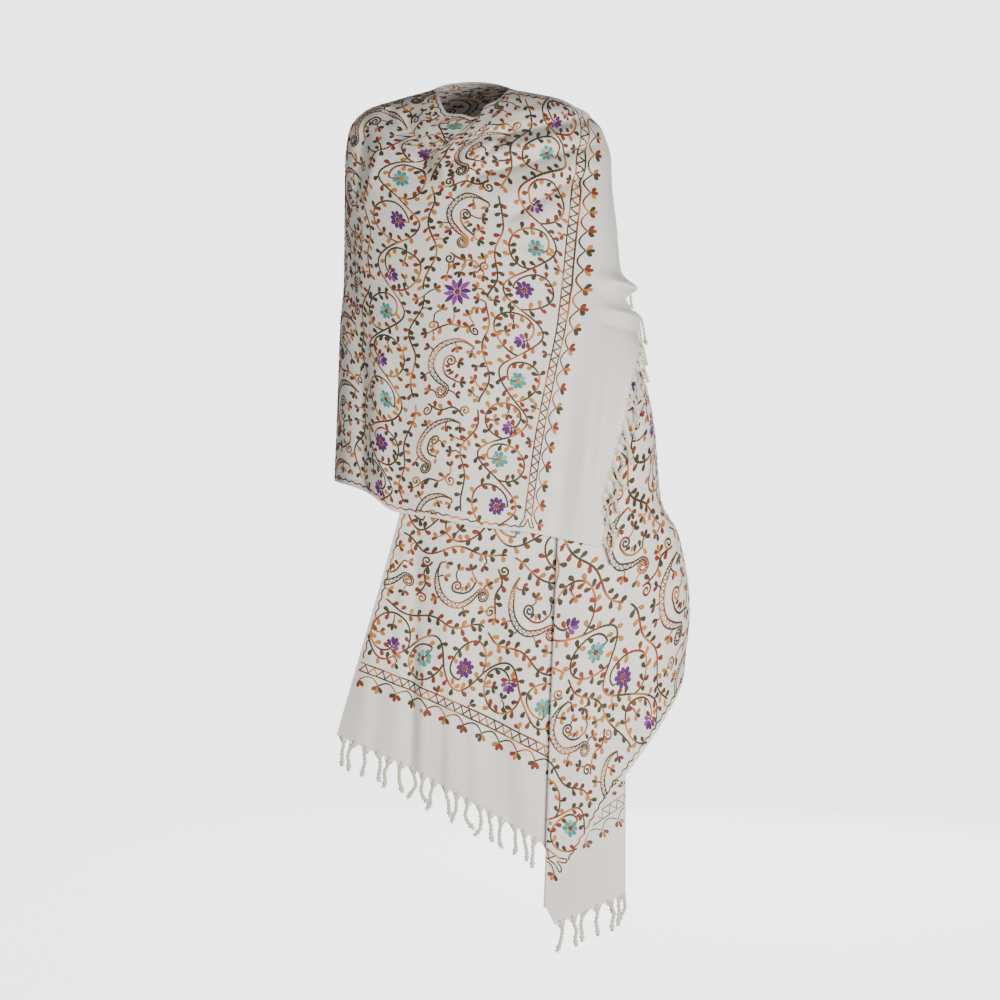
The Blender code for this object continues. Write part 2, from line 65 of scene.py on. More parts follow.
# ---------------------------------------------------------------- the flat cloth
CLOTH_WIDTH = 0.71
FRONT_SPAN = 0.42  # from the left side to the ladder border
PLAIN_END = 0.115  # from the rear ladder border to its fringe
FRONT_PLAIN_END = 0.155  # and from the front one
THICKNESS = 0.0007

# Grid cells on each stretch
ROWS = 200
BACK_CELLS = 120
FRONT_CELLS = 132
END_CELLS = 40
FALL_ROWS = 190


def table(names, text, unit="e-3"):
    """One array for each named column. The numbers are in millimetres, unless another unit is given."""
    rows = [[float(number + unit) for number in line.split()] for line in text.strip().splitlines()]
    return dict(zip(names.split(), np.array(rows).T))


FORM = table("drop left right front back", """
      -29  -58  50  10  56
    -19.2  -61  53  10  60
        0 -120 130  36  70
       16 -169 160  52  79
       32 -189 175  64  86
       48 -199 186  74  92
       96 -206 202  92 104
      190 -207 205 108 118
      290 -208 214 116 124
      360 -214 238 119 124
      440 -217 268 120 121
      528 -220 286 120 117
      640 -226 296 119 112
      700 -236 326 118 110
      816 -270 342 116 108
      912 -310 334 112 105
     1320 -360 334 104 100
""")
NECK_FRONT = table("x z", """
    -61  19.2
    -53    -8
    -43 -22.4
    -21   -24
     -2 -28.8
      6 -25.6
     16 -11.2
     38     0
     56    15
    100   8.5
    136   0.5
    162 -12.8
""")
NECK_BACK = table("x z", """
     53 19.2
     30 26.2
     -2   29
    -40 26.2
    -61 19.2
""")
LADDER = table("x z", """
    162  -12.8
    174    -48
    167   -104
    156   -184
    146   -288
    138   -360
    122   -440
    102   -544
     82 -691.2
""")
FRONT_HEM = table("x z", """
    -224 -609.6
    -174 -627.2
    -126 -659.2
     -69 -667.2
      -3 -681.6
      82 -691.2
""")
BACK_HEM = table("x z", """
     334   -912
     220   -875
      50   -775
     -80   -666
    -160   -617
    -224 -609.6
""")
END_EDGE = table("down turn z", """
       0 138 -0.062
    0.25 126  -0.19
    0.42 106   -0.3
     0.5  86  -0.36
     0.6  55  -0.44
    0.75  41  -0.55
       1  26 -0.716
""", "")
FRONT_LIFT = table("down ladder fringe", """
       0 0.016 0.014
    0.15 0.016 0.013
     0.3 0.023 0.019
     0.6 0.022 0.018
       1 0.019 0.017
""", "")
LIFT_REACH = 0.62
HEM_HEIGHT = -0.690
FALL_LINES = {
    "free_edge": (0.000, -0.128, -0.221, -1.0160),
    "step": (0.030, -0.078, -0.101, -1.0700),
    "middle": (0.052, 0.040, 0.080, -1.1720),
    "outer_fold": (0.140, 0.134, 0.1110, -1.2920),
    "front_crease": (0.175, 0.226, 0.214, -1.1150),
    "side": (0.250, 0.296, 0.334, -0.9120),
}
INNER_FOOT = -1.2720
CORNER_FOOT = -1.3200
CORNER_SHARE = 0.89
PLEAT = table("drop turn width", """
    0.05   0 0.005
    0.15  45 0.005
    0.28 110 0.007
     0.4 170 0.024
    0.52 180  0.05
    0.69 180 0.078
       1 180 0.114
     1.3 180 0.126
""", "")
TURN_LENGTH = math.pi * LAYER / 2
PANEL_CELLS = {"free_edge": 16, "step": 26, "middle": 26}
TURN_CELLS = 12
RETURN_CELLS = 20
CREASE_CELLS = 22
SIDE_CELLS = 34

# Folds, a row for each: the line that it follows, its height off the form and its half width. The part has
# the FOLDS, and the CREASES are finer ones that only this script has.
FOLD_NAMES = "x z to_x to_z height width"
FRONT_FOLDS = table(FOLD_NAMES, """
     170  -60   10  -82    7 17
     176 -102   50 -150  6.5 18
     170 -150   92 -204    5 20
     -56  -50  -90 -120   -6 19
     -30  -55  -24 -130    4 18
    -120  -40 -165 -140    4 20
    -181 -340 -181 -620   -6 16
    -150 -400 -146 -640    5 18
     184 -286  276 -326 17.5 13
     184 -332  262 -362    8 11
     140 -520  132 -720   -4 16
     170 -450  168 -720    5 16
""")
BACK_FOLDS = table(FOLD_NAMES, """
     150  -60  -80 -220  8 22
     170 -120  -40 -330  9 26
     196 -230   10 -460  9 28
     220 -380   60 -620  8 30
    -150 -150 -120 -560  6 26
     262 -560  150 -780  8 28
     -60 -420  -20 -680 -6 24
""")
FALL_FOLDS = table(FOLD_NAMES, """
    -150 -740 -180 -1000  6 20
     -94 -700 -104 -1060 -6 12
     -50 -740  -40 -1100  6 22
      10 -740   30 -1140 -5 22
      70 -780   84 -1180  4 18
     232 -720  232  -820 -5 12
     268 -720  262  -960  5 14
     170 -780  160 -1160  4 18
""")
FRONT_CREASES = table(FOLD_NAMES, """
     166  -32   16  -60   -10   8
     168  -74   24 -116 -12.5   8
     164 -120   62 -184 -11.5 8.4
     154  -50   50  -80     4 6.5
     150 -104   84 -130     4 6.5
     140  -14   64  -20     4 6.5
      70  -42   10  -92    -7 6.5
      36  -94  -20 -140  -6.6   8
    -114  -32  -70 -108   -15  10
    -142  -16 -116  -64   -13 9.5
     -88  -26  -56  -72     8   7
    -134  -40  -98  -96     6   7
     -60  -66  -44 -150   4.6   8
    -174  -46 -186 -150    -9  10
    -150  -70 -170 -130     4   8
     -22  -56  -32 -104    -8 7.5
      -4  -50    6  -92   3.6   6
    -196 -200 -194 -330  -3.6   9
     128 -188   80 -232    -3  11
     190 -292  274 -320     6 5.5
     196 -304  264 -338  -5.6 5.5
     190 -338  262 -352     6 5.5
     186 -354  246 -374    -4   6
     214 -400  184 -620  -5.5  12
     188 -380  152 -660   4.5  10
     240 -390  216 -520   4.5  10
     150 -430  124 -700    -4  10
    -176 -420 -176 -600  -4.6   7
    -160 -560 -130 -660   2.4   8
     -40 -120  -60 -240  -1.6  10
     120 -520  112 -690   1.4   9
""")
BACK_CREASES = table(FOLD_NAMES, """
     166  -90   20 -200 -3.4 10
     186 -180   40 -350   -3 11
     214 -300   80 -500 -3.4 12
    -130  -80 -100 -300  2.6 10
     110 -440  -10 -600    3 10
    -170 -380 -160 -580 -2.8 10
""")
FALL_CREASES = table(FOLD_NAMES, """
    -110 -720 -128 -1020    2   8
     -80 -880  -86 -1080    5 7.5
     -96 -860 -104 -1060 -6.6   7
     -50 -920  -56 -1100 -4.5   8
    -150 -900 -164 -1040 -3.5  10
      -2 -960    4 -1130  3.6   9
      40 -960   56 -1160   -2   9
     -20 -860  -16 -1110 -1.8   9
     246 -640  250  -780  2.2   7
     290 -660  300  -880 -2.2   9
     190 -640  200  -860   -2  10
""")


def smooth(knots, values, at):
    """A cubic through the knots that never overshoots them."""
    knots, values = np.asarray(knots, float), np.asarray(values, float)
    step = np.diff(knots)
    slope = np.diff(values) / step
    product = slope[:-1] * slope[1:]
    total = slope[:-1] + slope[1:]
    inner = np.where(product > 0, 2 * product / np.where(total == 0, 1, total), 0)
    tangent = np.concatenate([slope[:1], inner, slope[-1:]])
    at = np.clip(at, knots[0], knots[-1])
    i = np.clip(np.searchsorted(knots, at, side="right") - 1, 0, len(step) - 1)
    f = (at - knots[i]) / step[i]
    blend = f * f * (3 - 2 * f)
    bend = f * (1 - f) * ((1 - f) * tangent[i] - f * tangent[i + 1]) * step[i]
    return values[i] * (1 - blend) + values[i + 1] * blend + bend


def ease(share):
    """0 to 1 with level ends."""
    share = np.clip(share, 0, 1)
    return share * share * (3 - 2 * share)


def lengths(points):
    """Distance along a row of points, from its first."""
    return np.concatenate([[0], np.cumsum(np.linalg.norm(np.diff(points, axis=0), axis=1))])


def along(line, share):
    """Smooth places at a share of the length of a table's line."""
    run = lengths(np.column_stack([line["x"], line["z"]]))
    return np.stack([smooth(run, line[k], share * run[-1]) for k in "xz"], axis=-1)


def along_row(run, row, at):
    """Places on straight lines between the points of a row, at the distances `at` along it."""
    return np.stack([np.interp(at, run, row[:, k]) for k in range(row.shape[1])], axis=-1)


def read(rows, name, at):
    """A column of a table at places in its first one."""
    return smooth(next(iter(rows.values())), rows[name], at)


def form(name, z):
    return read(FORM, name, -np.asarray(z, float))


def middle_and_half(z):
    """The middle of the form and half its width."""
    left, right = form("left", z), form("right", z)
    return (left + right) / 2, (right - left) / 2


def side_line(name, foot):
    """The form's left or right side from the neck down to `foot`: its distances and its (x, z) places."""
    z = NECK_HEIGHT + (foot - NECK_HEIGHT) * np.linspace(0, 1, DENSE) ** 1.5
    points = np.column_stack([form(name, z), z])
    return lengths(points), points


def side(name, foot, share):
    run, points = side_line(name, foot)
    seen_z = np.interp(share * run[-1], run, points[:, 1])
    return np.stack([form(name, seen_z), seen_z], axis=-1)


FOLD_START, FOLD_END, FOLD_FADE = 0.2, 1.25, 0.4  # shares of a fold's length


def fold_height(rows, x, z):
    """How far the folds move the cloth off the form at a seen place."""
    total = np.zeros_like(x)
    for x0, z0, x1, z1, height, width in zip(*rows.values()):
        run_x, run_z = x1 - x0, z1 - z0
        size = math.hypot(run_x, run_z)
        share = ((x - x0) * run_x + (z - z0) * run_z) / size**2
        aside = ((x - x0) * run_z - (z - z0) * run_x) / size
        ends = ease((share + FOLD_START) / FOLD_FADE) * ease((FOLD_END - share) / FOLD_FADE)
        total += height * np.exp(-((aside / width) ** 2)) * ends
    return total


def folds_of(big, fine, x, z):
    return fold_height(big, x, z) + fold_height(fine, x, z)


def placed(x, z, y):
    """The point that is seen at x, z, at depth y."""
    scale = (VIEW_DISTANCE + y) / VIEW_DISTANCE
    return np.stack([VIEW_X + (x - VIEW_X) * scale, y + 0 * x, VIEW_Z + (z - VIEW_Z) * scale], axis=-1)


def on_form(x, z, lift, facing):
    """The point seen at x, z on the form's front (facing -1) or back (facing 1), `lift` outside it."""
    middle, half = middle_and_half(z)
    depth = form("front" if facing < 0 else "back", z) + lift
    across = np.clip(np.abs(x - middle) / (half + lift), 0, 1)
    return placed(x, z, facing * depth * (1 - across**ROUNDNESS) ** (1 / ROUNDNESS))


def patch(first, last, top, bottom, a, d):
    """Places between the first and last columns and the top and bottom rows, at shares a and d."""
    corners = (1 - a) * ((1 - d) * top[0] + d * bottom[0]) + a * ((1 - d) * top[-1] + d * bottom[-1])
    return (1 - a) * first + a * last + (1 - d) * top + d * bottom - corners


def evened(row, count):
    """The row with its points at equal distances."""
    run = lengths(row)
    return along_row(run, row, np.linspace(0, run[-1], count))


def back_row(down):
    """From the shoulder line round the back to the left side."""
    across = ease(np.linspace(0, 1, DENSE))
    first, last = side("right", RIGHT_HEM, down), side("left", LEFT_HEM, down)
    seen = patch(first, last, along(NECK_BACK, across), along(BACK_HEM, across), across[:, None], down)
    x, z = seen.T
    lift = folds_of(BACK_FOLDS, BACK_CREASES, x, z) * ease(across / 0.15) * ease((1 - across) / 0.15)
    return evened(on_form(x, z, lift, 1), BACK_CELLS + 1)


def front_row(down):
    """From the left side across the chest to the ladder border."""
    across = np.linspace(0, 1, DENSE) ** 2
    first, last = side("left", LEFT_HEM, down), along(LADDER, down)
    seen = patch(first, last, along(NECK_FRONT, across), along(FRONT_HEM, across), across[:, None], down)
    x, z = seen.T
    lift = read(FRONT_LIFT, "ladder", down) * ease(across / LIFT_REACH)
    lift = lift + folds_of(FRONT_FOLDS, FRONT_CREASES, x, z) * ease(across / 0.04)
    return evened(on_form(x, z, lift, -1), FRONT_CELLS + 1)


def end_row(down):
    """From the ladder border to the fringed edge of the front end, at turns round the form's section."""
    share = np.linspace(0, 1, DENSE)
    first_lift, last_lift = read(FRONT_LIFT, "ladder", down), read(FRONT_LIFT, "fringe", down)
    x, z = along(LADDER, down)
    base = first_lift + folds_of(FRONT_FOLDS, FRONT_CREASES, np.array([x]), np.array([z]))[0]
    middle, half = middle_and_half(z)
    start = math.asin(min(1, (x - middle) / (half + base)) ** (ROUNDNESS / 2))
    turn = start + (math.radians(read(END_EDGE, "turn", down)) - start) * share
    z = z + (read(END_EDGE, "z", down) - z) * share
    middle, half = middle_and_half(z)
    swing = np.sin(turn) ** (2 / ROUNDNESS)
    lift = first_lift + (last_lift - first_lift) * share
    lift = lift + folds_of(FRONT_FOLDS, FRONT_CREASES, middle + half * swing, z)
    depth = np.where(turn < math.pi / 2, form("front", z), form("back", z)) + lift
    y = -np.sign(np.cos(turn)) * depth * np.abs(np.cos(turn)) ** (2 / ROUNDNESS)
    return evened(placed(middle + (half + lift) * swing, z, y), END_CELLS + 1)


def wrap_grid():
    """From the shoulder line round the back, the left side and the chest to the fringe."""
    downs = np.linspace(0, 1, ROWS + 1)
    return np.array([np.concatenate([back_row(d)[:-1], front_row(d)[:-1], end_row(d)]) for d in downs])


def fall_line(name, share):
    """(x, z) at a share of the way down one line of the fallen end."""
    leaves, hem_x, foot_x, foot_z = FALL_LINES[name]
    top_x, top_z = side("right", RIGHT_HEM, leaves)
    z = top_z + (foot_z - top_z) * share
    if name == "side":
        return form("right", z), z
    return smooth((-top_z, -HEM_HEIGHT, -foot_z), (top_x, hem_x, foot_x), -z), z


def bend(angle, share):
    """(along, off) of a stretch TURN_LENGTH long that bends through an angle, at shares of its length."""
    turned = np.maximum(angle * share, 1e-6)
    return TURN_LENGTH * share * np.sin(turned) / turned, TURN_LENGTH * share * (1 - np.cos(turned)) / turned


def straight(start, end, count):
    """Places from start to end, the last one left out."""
    return np.array(start) + (np.array(end) - np.array(start)) * (np.arange(count) / count)[:, None]


def pleat_places(outer_x, outer_z, inner_z, corner_z):
    """(x, z, lift) over the pleat, from the panel below it, round both folds, to the front layer."""
    angle, width = math.radians(read(PLEAT, "turn", -outer_z)), read(PLEAT, "width", -outer_z)
    arc = np.linspace(0, 1, TURN_CELLS + 1)
    run, rise = bend(angle, arc)
    run_x, run_lift = width * math.cos(angle), width * math.sin(angle)
    end_lift = 2 * rise[-1] + run_lift
    end_x = outer_x + LAYER / 2
    start_x = end_x - 2 * run[-1] - run_x
    first = np.column_stack([start_x + run, inner_z + 0 * run, rise])
    back_run, back_rise = bend(angle, arc[::-1])
    last = np.column_stack([end_x - back_run, outer_z + 0 * run, end_lift - back_rise])
    corner = first[-1] + (last[0] - first[-1]) * CORNER_SHARE
    corner[1] = corner_z
    middle = straight(first[-1], corner, RETURN_CELLS)[1:]
    return np.concatenate([first, middle, [corner], last])


def fall_row(share):
    """A row over the fallen end, from its free long edge to the side where it turns to the back."""
    places = {name: fall_line(name, share) for name in FALL_LINES}
    outer_x, outer_z = places["outer_fold"]
    top_z = side("right", RIGHT_HEM, FALL_LINES["outer_fold"][0])[1]
    inner_z = top_z + (INNER_FOOT - top_z) * share
    corner_z = top_z + (CORNER_FOOT - top_z) * share
    pleat = pleat_places(outer_x, outer_z, inner_z, corner_z)
    rows = []
    flat = [(*places[name], 0) for name in PANEL_CELLS] + [tuple(pleat[0])]
    for (start, end), count in zip(zip(flat[:-1], flat[1:]), PANEL_CELLS.values()):
        rows.append(straight(start, end, count))
    rows.append(pleat)
    crease = (*places["front_crease"], pleat[-1][2])
    rows.append(straight(pleat[-1], crease, CREASE_CELLS)[1:])
    step = np.arange(SIDE_CELLS + 1) / SIDE_CELLS
    side_x, side_z = places["side"]
    run = 1 - (1 - step) ** 2
    z_run = (step + run) / 2
    x = crease[0] + (side_x - crease[0]) * run
    rows.append(np.column_stack([x, crease[1] + (side_z - crease[1]) * z_run, crease[2] * (1 - ease(step))]))
    x, z, lift = np.concatenate(rows).T
    if share == 0:
        heights = np.linspace(NECK_HEIGHT, SHOULDER_END, DENSE)
        z = np.interp(x, form("right", heights), heights)
        x = form("right", z)
    lift = lift + folds_of(FALL_FOLDS, FALL_CREASES, x, z) * ease((form("right", z) - x) / 0.03)
    return on_form(x, z, lift, -1)


def fall_grid():
    shares = smooth((0, 0.3, 1), (0, 0.22, 1), np.linspace(0, 1, FALL_ROWS + 1))
    return np.array([fall_row(share) for share in shares])


def normals_of(grid):
    """Unit normals on the cloth's face side."""
    normals = np.cross(np.gradient(grid, axis=0), np.gradient(grid, axis=1))
    return normals / np.maximum(np.linalg.norm(normals, axis=2, keepdims=True), 1e-9)


# ---------------------------------------------------------------- from the flat cloth to the drape
LEAST_WEIGHT = 0.02
ROUNDS = 3
SOLVER_STEPS = 350
SOLVED = 1e-8  # what may be left of the first error
RASTER = 0.002  # a pixel of the map from the flat cloth to the fallen end
RASTER_ROOM = 8  # pixels more than the cloth needs
RASTER_GROWTH = 12  # times that empty pixels take a neighbour's place
FINER = 4  # samples of the map for each cell
SEARCH_STEPS = 5
SEARCH_REACH = 3  # cells in one step of the search


def cotangent(corner, one, other):
    a, b = one - corner, other - corner
    return (a * b).sum(axis=-1) / np.maximum(np.linalg.norm(np.cross(a, b), axis=-1), 1e-12)


CELL_CORNERS = (np.s_[:-1, :-1], np.s_[1:, :-1], np.s_[1:, 1:], np.s_[:-1, 1:])


def corners_of(grid):
    """The corners of the two triangles of every cell: below its diagonal, and above."""
    a, b, c, d = (grid[corner] for corner in CELL_CORNERS)
    return (a, b, c), (a, c, d)


def quads_of(index):
    """The faces of a grid of point numbers."""
    return np.stack([index[corner] for corner in CELL_CORNERS], axis=-1).reshape(-1, 4)


def spread(shape, lower, upper):
    """Sums, at the grid points, what each triangle gives to its three corners."""
    total = np.zeros((*shape, lower[0].shape[-1]))
    for part, places in ((lower, (0, 1, 2)), (upper, (0, 2, 3))):
        for values, place in zip(part, places):
            total[CELL_CORNERS[place]] += values
    return total


def pulls(triangle, weights):
    """What the springs of a triangle give to each corner. weights[k] is of the side opposite corner k."""
    (a, b, c), (over_a, over_b, over_c) = triangle, (weight[..., None] for weight in weights)
    ab, bc, ca = over_c * (a - b), over_a * (b - c), over_b * (c - a)
    return ab - ca, bc - ab, ca - bc


def settled(start, held, weights, wanted):
    """Solves for the flat grid whose spring pulls are as wanted, by conjugate gradients."""
    shape = start.shape[:2]

    def pull(grid):
        lower, upper = corners_of(grid)
        total = spread(shape, pulls(lower, weights[0]), pulls(upper, weights[1]))
        total[held] = 0
        return total

    ends = ([(b + c)[..., None], (a + c)[..., None], (a + b)[..., None]] for a, b, c in weights)
    scale = spread(shape, *ends)
    goal = wanted.copy()
    goal[held] = 0
    flat = start.copy()
    rest = goal - pull(flat)
    step = rest / scale
    size = (rest * step).sum()
    first = max(size, 1e-30)
    for _ in range(SOLVER_STEPS):
        if size < first * SOLVED:
            break
        moved = pull(step)
        share = size / (step * moved).sum()
        flat += share * step
        rest -= share * moved
        eased = rest / scale
        fresh = (rest * eased).sum()
        step = eased + fresh / size * step
        size = fresh
    return flat


def laid_flat(triangle):
    """The triangle in a plane, turned the same way round as on the flat cloth."""
    a, b, c = triangle
    along_side, over = b - a, c - a
    size = np.maximum(np.linalg.norm(along_side, axis=-1), 1e-9)
    run = (along_side * over).sum(axis=-1) / size
    rise = np.linalg.norm(np.cross(along_side, over), axis=-1) / size
    zero = np.zeros_like(size)
    return np.stack([zero, zero], -1), np.stack([size, zero], -1), np.stack([run, -rise], -1)


def flattened(flat, solid):
    """Lays a draped grid flat with each small piece as near its own shape as its fixed outline lets it."""
    held = np.ones(flat.shape[:2], bool)
    held[1:-1, 1:-1] = False
    weights, rests = [], []
    for a, b, c in corners_of(solid):
        cots = (cotangent(a, b, c), cotangent(b, c, a), cotangent(c, a, b))
        weights.append([np.clip(cot, LEAST_WEIGHT, 1 / LEAST_WEIGHT) for cot in cots])
        rests.append(laid_flat((a, b, c)))
    flat = settled(flat, held, weights, np.zeros_like(flat))
    cells = [np.abs(np.cross(b - a, c - a)).sum() for a, b, c in corners_of(flat)]
    true = [np.linalg.norm(np.cross(b - a, c - a), axis=-1).sum() for a, b, c in corners_of(solid)]
    shrink = math.sqrt(sum(cells) / sum(true))
    for _ in range(ROUNDS):
        goals = []
        for triangle, rest, weight in zip(corners_of(flat), rests, weights):
            turned = np.zeros((*flat[:-1, :-1].shape[:2], 2))
            for k in range(3):
                now, own = triangle[k - 2] - triangle[k - 1], rest[k - 2] - rest[k - 1]
                turned[..., 0] += weight[k] * (now * own).sum(axis=-1)
                turned[..., 1] += weight[k] * (now[..., 1] * own[..., 0] - now[..., 0] * own[..., 1])
            turned /= np.maximum(np.linalg.norm(turned, axis=-1, keepdims=True), 1e-12)
            cos, sin = turned[..., 0], turned[..., 1]
            x, y = np.moveaxis(np.array(rest), -1, 0)
            goals.append(pulls(shrink * np.stack([cos * x - sin * y, sin * x + cos * y], -1), weight))
        flat = settled(flat, held, weights, spread(flat.shape[:2], *goals))
    return flat


def bilinear(grid, row, column):
    """Values of a grid at broken row and column numbers."""
    i = np.clip(row.astype(int), 0, grid.shape[0] - 2)
    j = np.clip(column.astype(int), 0, grid.shape[1] - 2)
    f, g = (row - i)[:, None], (column - j)[:, None]
    top = grid[i, j] * (1 - g) + grid[i, j + 1] * g
    foot = grid[i + 1, j] * (1 - g) + grid[i + 1, j + 1] * g
    return top * (1 - f) + foot * f


def resampled(grid, rows, columns):
    row, column = np.meshgrid(rows, columns, indexing="ij")
    return bilinear(grid, row.ravel(), column.ravel()).reshape(len(rows), len(columns), -1)


INNER_FOLD = sum(PANEL_CELLS.values()) + TURN_CELLS // 2
CORNER = sum(PANEL_CELLS.values()) + TURN_CELLS + RETURN_CELLS
OUTER_FOLD = CORNER + 1 + TURN_CELLS // 2


class Drape:
    """The draped cloth, and the way onto it from the flat one."""

    def __init__(self):
        self.wrap = wrap_grid()
        self.fall = fall_grid()
        self.wrap_normals = normals_of(self.wrap)
        self.fall_normals = normals_of(self.fall)
        self.back_lengths = np.array([lengths(row[: BACK_CELLS + 1])[-1] for row in self.wrap])
        self.fall_flat = self.flat_fall()
        self.end = self.fall_flat[-1, 0, 1]
        self.share_normals()
        self.fill_raster()

    def turn_at(self, s):
        """Where the cloth reaches the shoulder line and right side, as t."""
        return np.interp(s / CLOTH_WIDTH, np.linspace(0, 1, ROWS + 1), self.back_lengths)

    def share_normals(self):
        """The wrap and the fallen end are one cloth, so their normals agree where they meet."""
        across = np.cross(np.gradient(self.wrap[:, 0], axis=0), (0, 1, 0))
        self.wrap_normals[:, 0] = across / np.linalg.norm(across, axis=1, keepdims=True)
        for edge in (np.s_[0], np.s_[:, -1]):
            way = np.gradient(self.fall[edge], axis=0)
            across = np.cross(way, (0, 1, 0))
            self.fall_normals[edge] = across / np.linalg.norm(across, axis=1, keepdims=True)

    def flat_fall(self):
        """(s, t) of the fallen end's grid points."""
        fall = self.fall
        run, places = side_line("right", RIGHT_HEM)

        def on_side(points):
            """The line where it meets the wrap, at the same heights."""
            share = np.interp(-points[:, 2], -places[:, 1], run / run[-1])
            s = CLOTH_WIDTH * share
            return np.column_stack([s, self.turn_at(s)])

        top, last = on_side(fall[0]), on_side(fall[:, -1])
        top[0], last[-1] = (0, self.turn_at(0)), (CLOTH_WIDTH, self.turn_at(CLOTH_WIDTH))
        free = top[0, 1] + lengths(fall[:, 0])
        end = free[-1]
        foot_run = lengths(fall[-1])
        across = np.minimum(CLOTH_WIDTH * foot_run / foot_run[CORNER], CLOTH_WIDTH)
        share = np.maximum(foot_run - foot_run[CORNER], 0) / (foot_run[-1] - foot_run[CORNER])
        foot = np.column_stack([across, end + (last[-1, 1] - end) * share])
        first = np.column_stack([0 * free, free])
        down, across = (np.linspace(0, 1, count) for count in fall.shape[:2])
        flat = patch(first[:, None], last[:, None], top, foot, across[:, None], down[:, None, None])
        flat[0], flat[:, -1], flat[-1], flat[:, 0] = top, last, foot, first
        return flattened(flat, fall)

    def fill_raster(self):
        """A map from the flat cloth to the nearest row and column of the fallen end."""
        rows = np.linspace(0, FALL_ROWS, FINER * FALL_ROWS)
        columns = np.linspace(0, self.fall.shape[1] - 1, FINER * self.fall.shape[1])
        flat = resampled(self.fall_flat, rows, columns).reshape(-1, 2)
        row, column = (a.ravel() for a in np.meshgrid(rows, columns, indexing="ij"))
        size = (int(CLOTH_WIDTH / RASTER) + RASTER_ROOM, int(self.end / RASTER) + RASTER_ROOM)
        self.raster = np.full((*size, 2), np.nan)
        at = np.clip((flat / RASTER + 2).astype(int), 0, np.array(size) - 1)
        self.raster[at[:, 0], at[:, 1]] = np.column_stack([row, column])
        for _ in range(RASTER_GROWTH):
            for axis in (0, 1):
                for step in (1, -1):
                    moved = np.roll(self.raster, step, axis)
                    empty = np.isnan(self.raster[..., 0])
                    self.raster[empty] = moved[empty]
        self.raster = np.nan_to_num(self.raster)

    def on_fall(self, flat):
        """Row and column of the fallen end at flat places."""
        at = np.clip((flat / RASTER + 2).astype(int), 0, np.array(self.raster.shape[:2]) - 1)
        place = self.raster[at[:, 0], at[:, 1]]
        most = np.array(self.fall.shape[:2]) - 1.0
        for _ in range(SEARCH_STEPS):
            here = bilinear(self.fall_flat, place[:, 0], place[:, 1])
            i, j = np.minimum(place.astype(int), (most - 1).astype(int)).T
            down = self.fall_flat[i + 1, j] - self.fall_flat[i, j]
            over = self.fall_flat[i, j + 1] - self.fall_flat[i, j]
            gap = flat - here
            det = down[:, 0] * over[:, 1] - down[:, 1] * over[:, 0]
            det = np.where(np.abs(det) < 1e-12, 1e-12, det)
            step_row = (gap[:, 0] * over[:, 1] - gap[:, 1] * over[:, 0]) / det
            step_column = (down[:, 0] * gap[:, 1] - down[:, 1] * gap[:, 0]) / det
            step = np.clip(np.column_stack([step_row, step_column]), -SEARCH_REACH, SEARCH_REACH)
            place = np.clip(place + step, 0, most)
        return place

    def at(self, flat, lift):
        """Places `lift` off the face of the draped cloth, and the stretch that each is on."""
        s, t = flat[:, 0], flat[:, 1]
        turn = self.turn_at(s)
        row = np.clip(s / CLOTH_WIDTH * ROWS, 0, ROWS)
        back = (1 - t / turn) * BACK_CELLS
        front = BACK_CELLS - t / FRONT_SPAN * FRONT_CELLS
        end = BACK_CELLS + FRONT_CELLS + (-t - FRONT_SPAN) / FRONT_PLAIN_END * END_CELLS
        column = np.where(t > 0, back, np.where(t > -FRONT_SPAN, front, end))
        column = np.clip(column, 0, self.wrap.shape[1] - 1)
        points = bilinear(self.wrap, row, column)
        normals = bilinear(self.wrap_normals, row, column)
        stretch = np.where(t > 0, 0, np.where(t > -FRONT_SPAN, 1, 2))
        fallen = np.nonzero(t > turn)[0]
        place = self.on_fall(flat[fallen])
        points[fallen] = bilinear(self.fall, place[:, 0], place[:, 1])
        normals[fallen] = bilinear(self.fall_normals, place[:, 0], place[:, 1])
        stretch[fallen] = 3 + (place[:, 1] > INNER_FOLD) + (place[:, 1] > OUTER_FOLD)
        normals /= np.maximum(np.linalg.norm(normals, axis=1, keepdims=True), 1e-9)
        return points + normals * np.reshape(lift, (-1, 1)), stretch


# ---------------------------------------------------------------- the embroidery, on the flat cloth
OLIVE, RUST, AMBER, PURPLE, LILAC, TEAL, MINT = range(7)
THREADS = np.array([
    (0.062, 0.046, 0.019), (0.240, 0.040, 0.013), (0.535, 0.205, 0.037), (0.105, 0.011, 0.135),
    (0.250, 0.038, 0.300), (0.066, 0.295, 0.250), (0.195, 0.495, 0.430),
])
# A space-dyed thread: what it passes through over one length of DYE_LENGTH
DYE_LENGTH = 0.34
DYE = (OLIVE, OLIVE, RUST, AMBER, OLIVE, AMBER, OLIVE, OLIVE, RUST, AMBER, RUST, OLIVE)
CELL = 0.001  # of the map that says where stitches already lie
VINE = 0.0040
FINE_VINE = 0.0032
VINE_STEP = 0.0019
LEAF = (0.0128, 0.0077)
LEAF_STEP = 0.0150
MARGIN = 0.0035
BAY = 0.071  # from one scroll to the next
SWING = 0.0330  # of the vine between them
CURL = 0.0088
COLUMNS = 15  # scrolls and paisleys by turns, from one ladder border to the other
FIRST_COLUMN = 0.056  # from a ladder border
WOBBLE = 0.0072
CALM = 0.070  # how far from a border or an edge the wobble is whole
LADDER_HALF = 0.0062  # from the middle of a ladder border to its lines
LADDER_PITCH = 0.0325  # of the scallops on it
SCALLOP = 0.0192  # from the middle of the border to where they meet
FILL_REACH = 0.0070  # a bare round of this radius gets a sprig
FILL_STEP = 0.0065
STALK = 0.034  # the longest one of such a sprig
STEM = 0.005  # what a sprig stands off its place
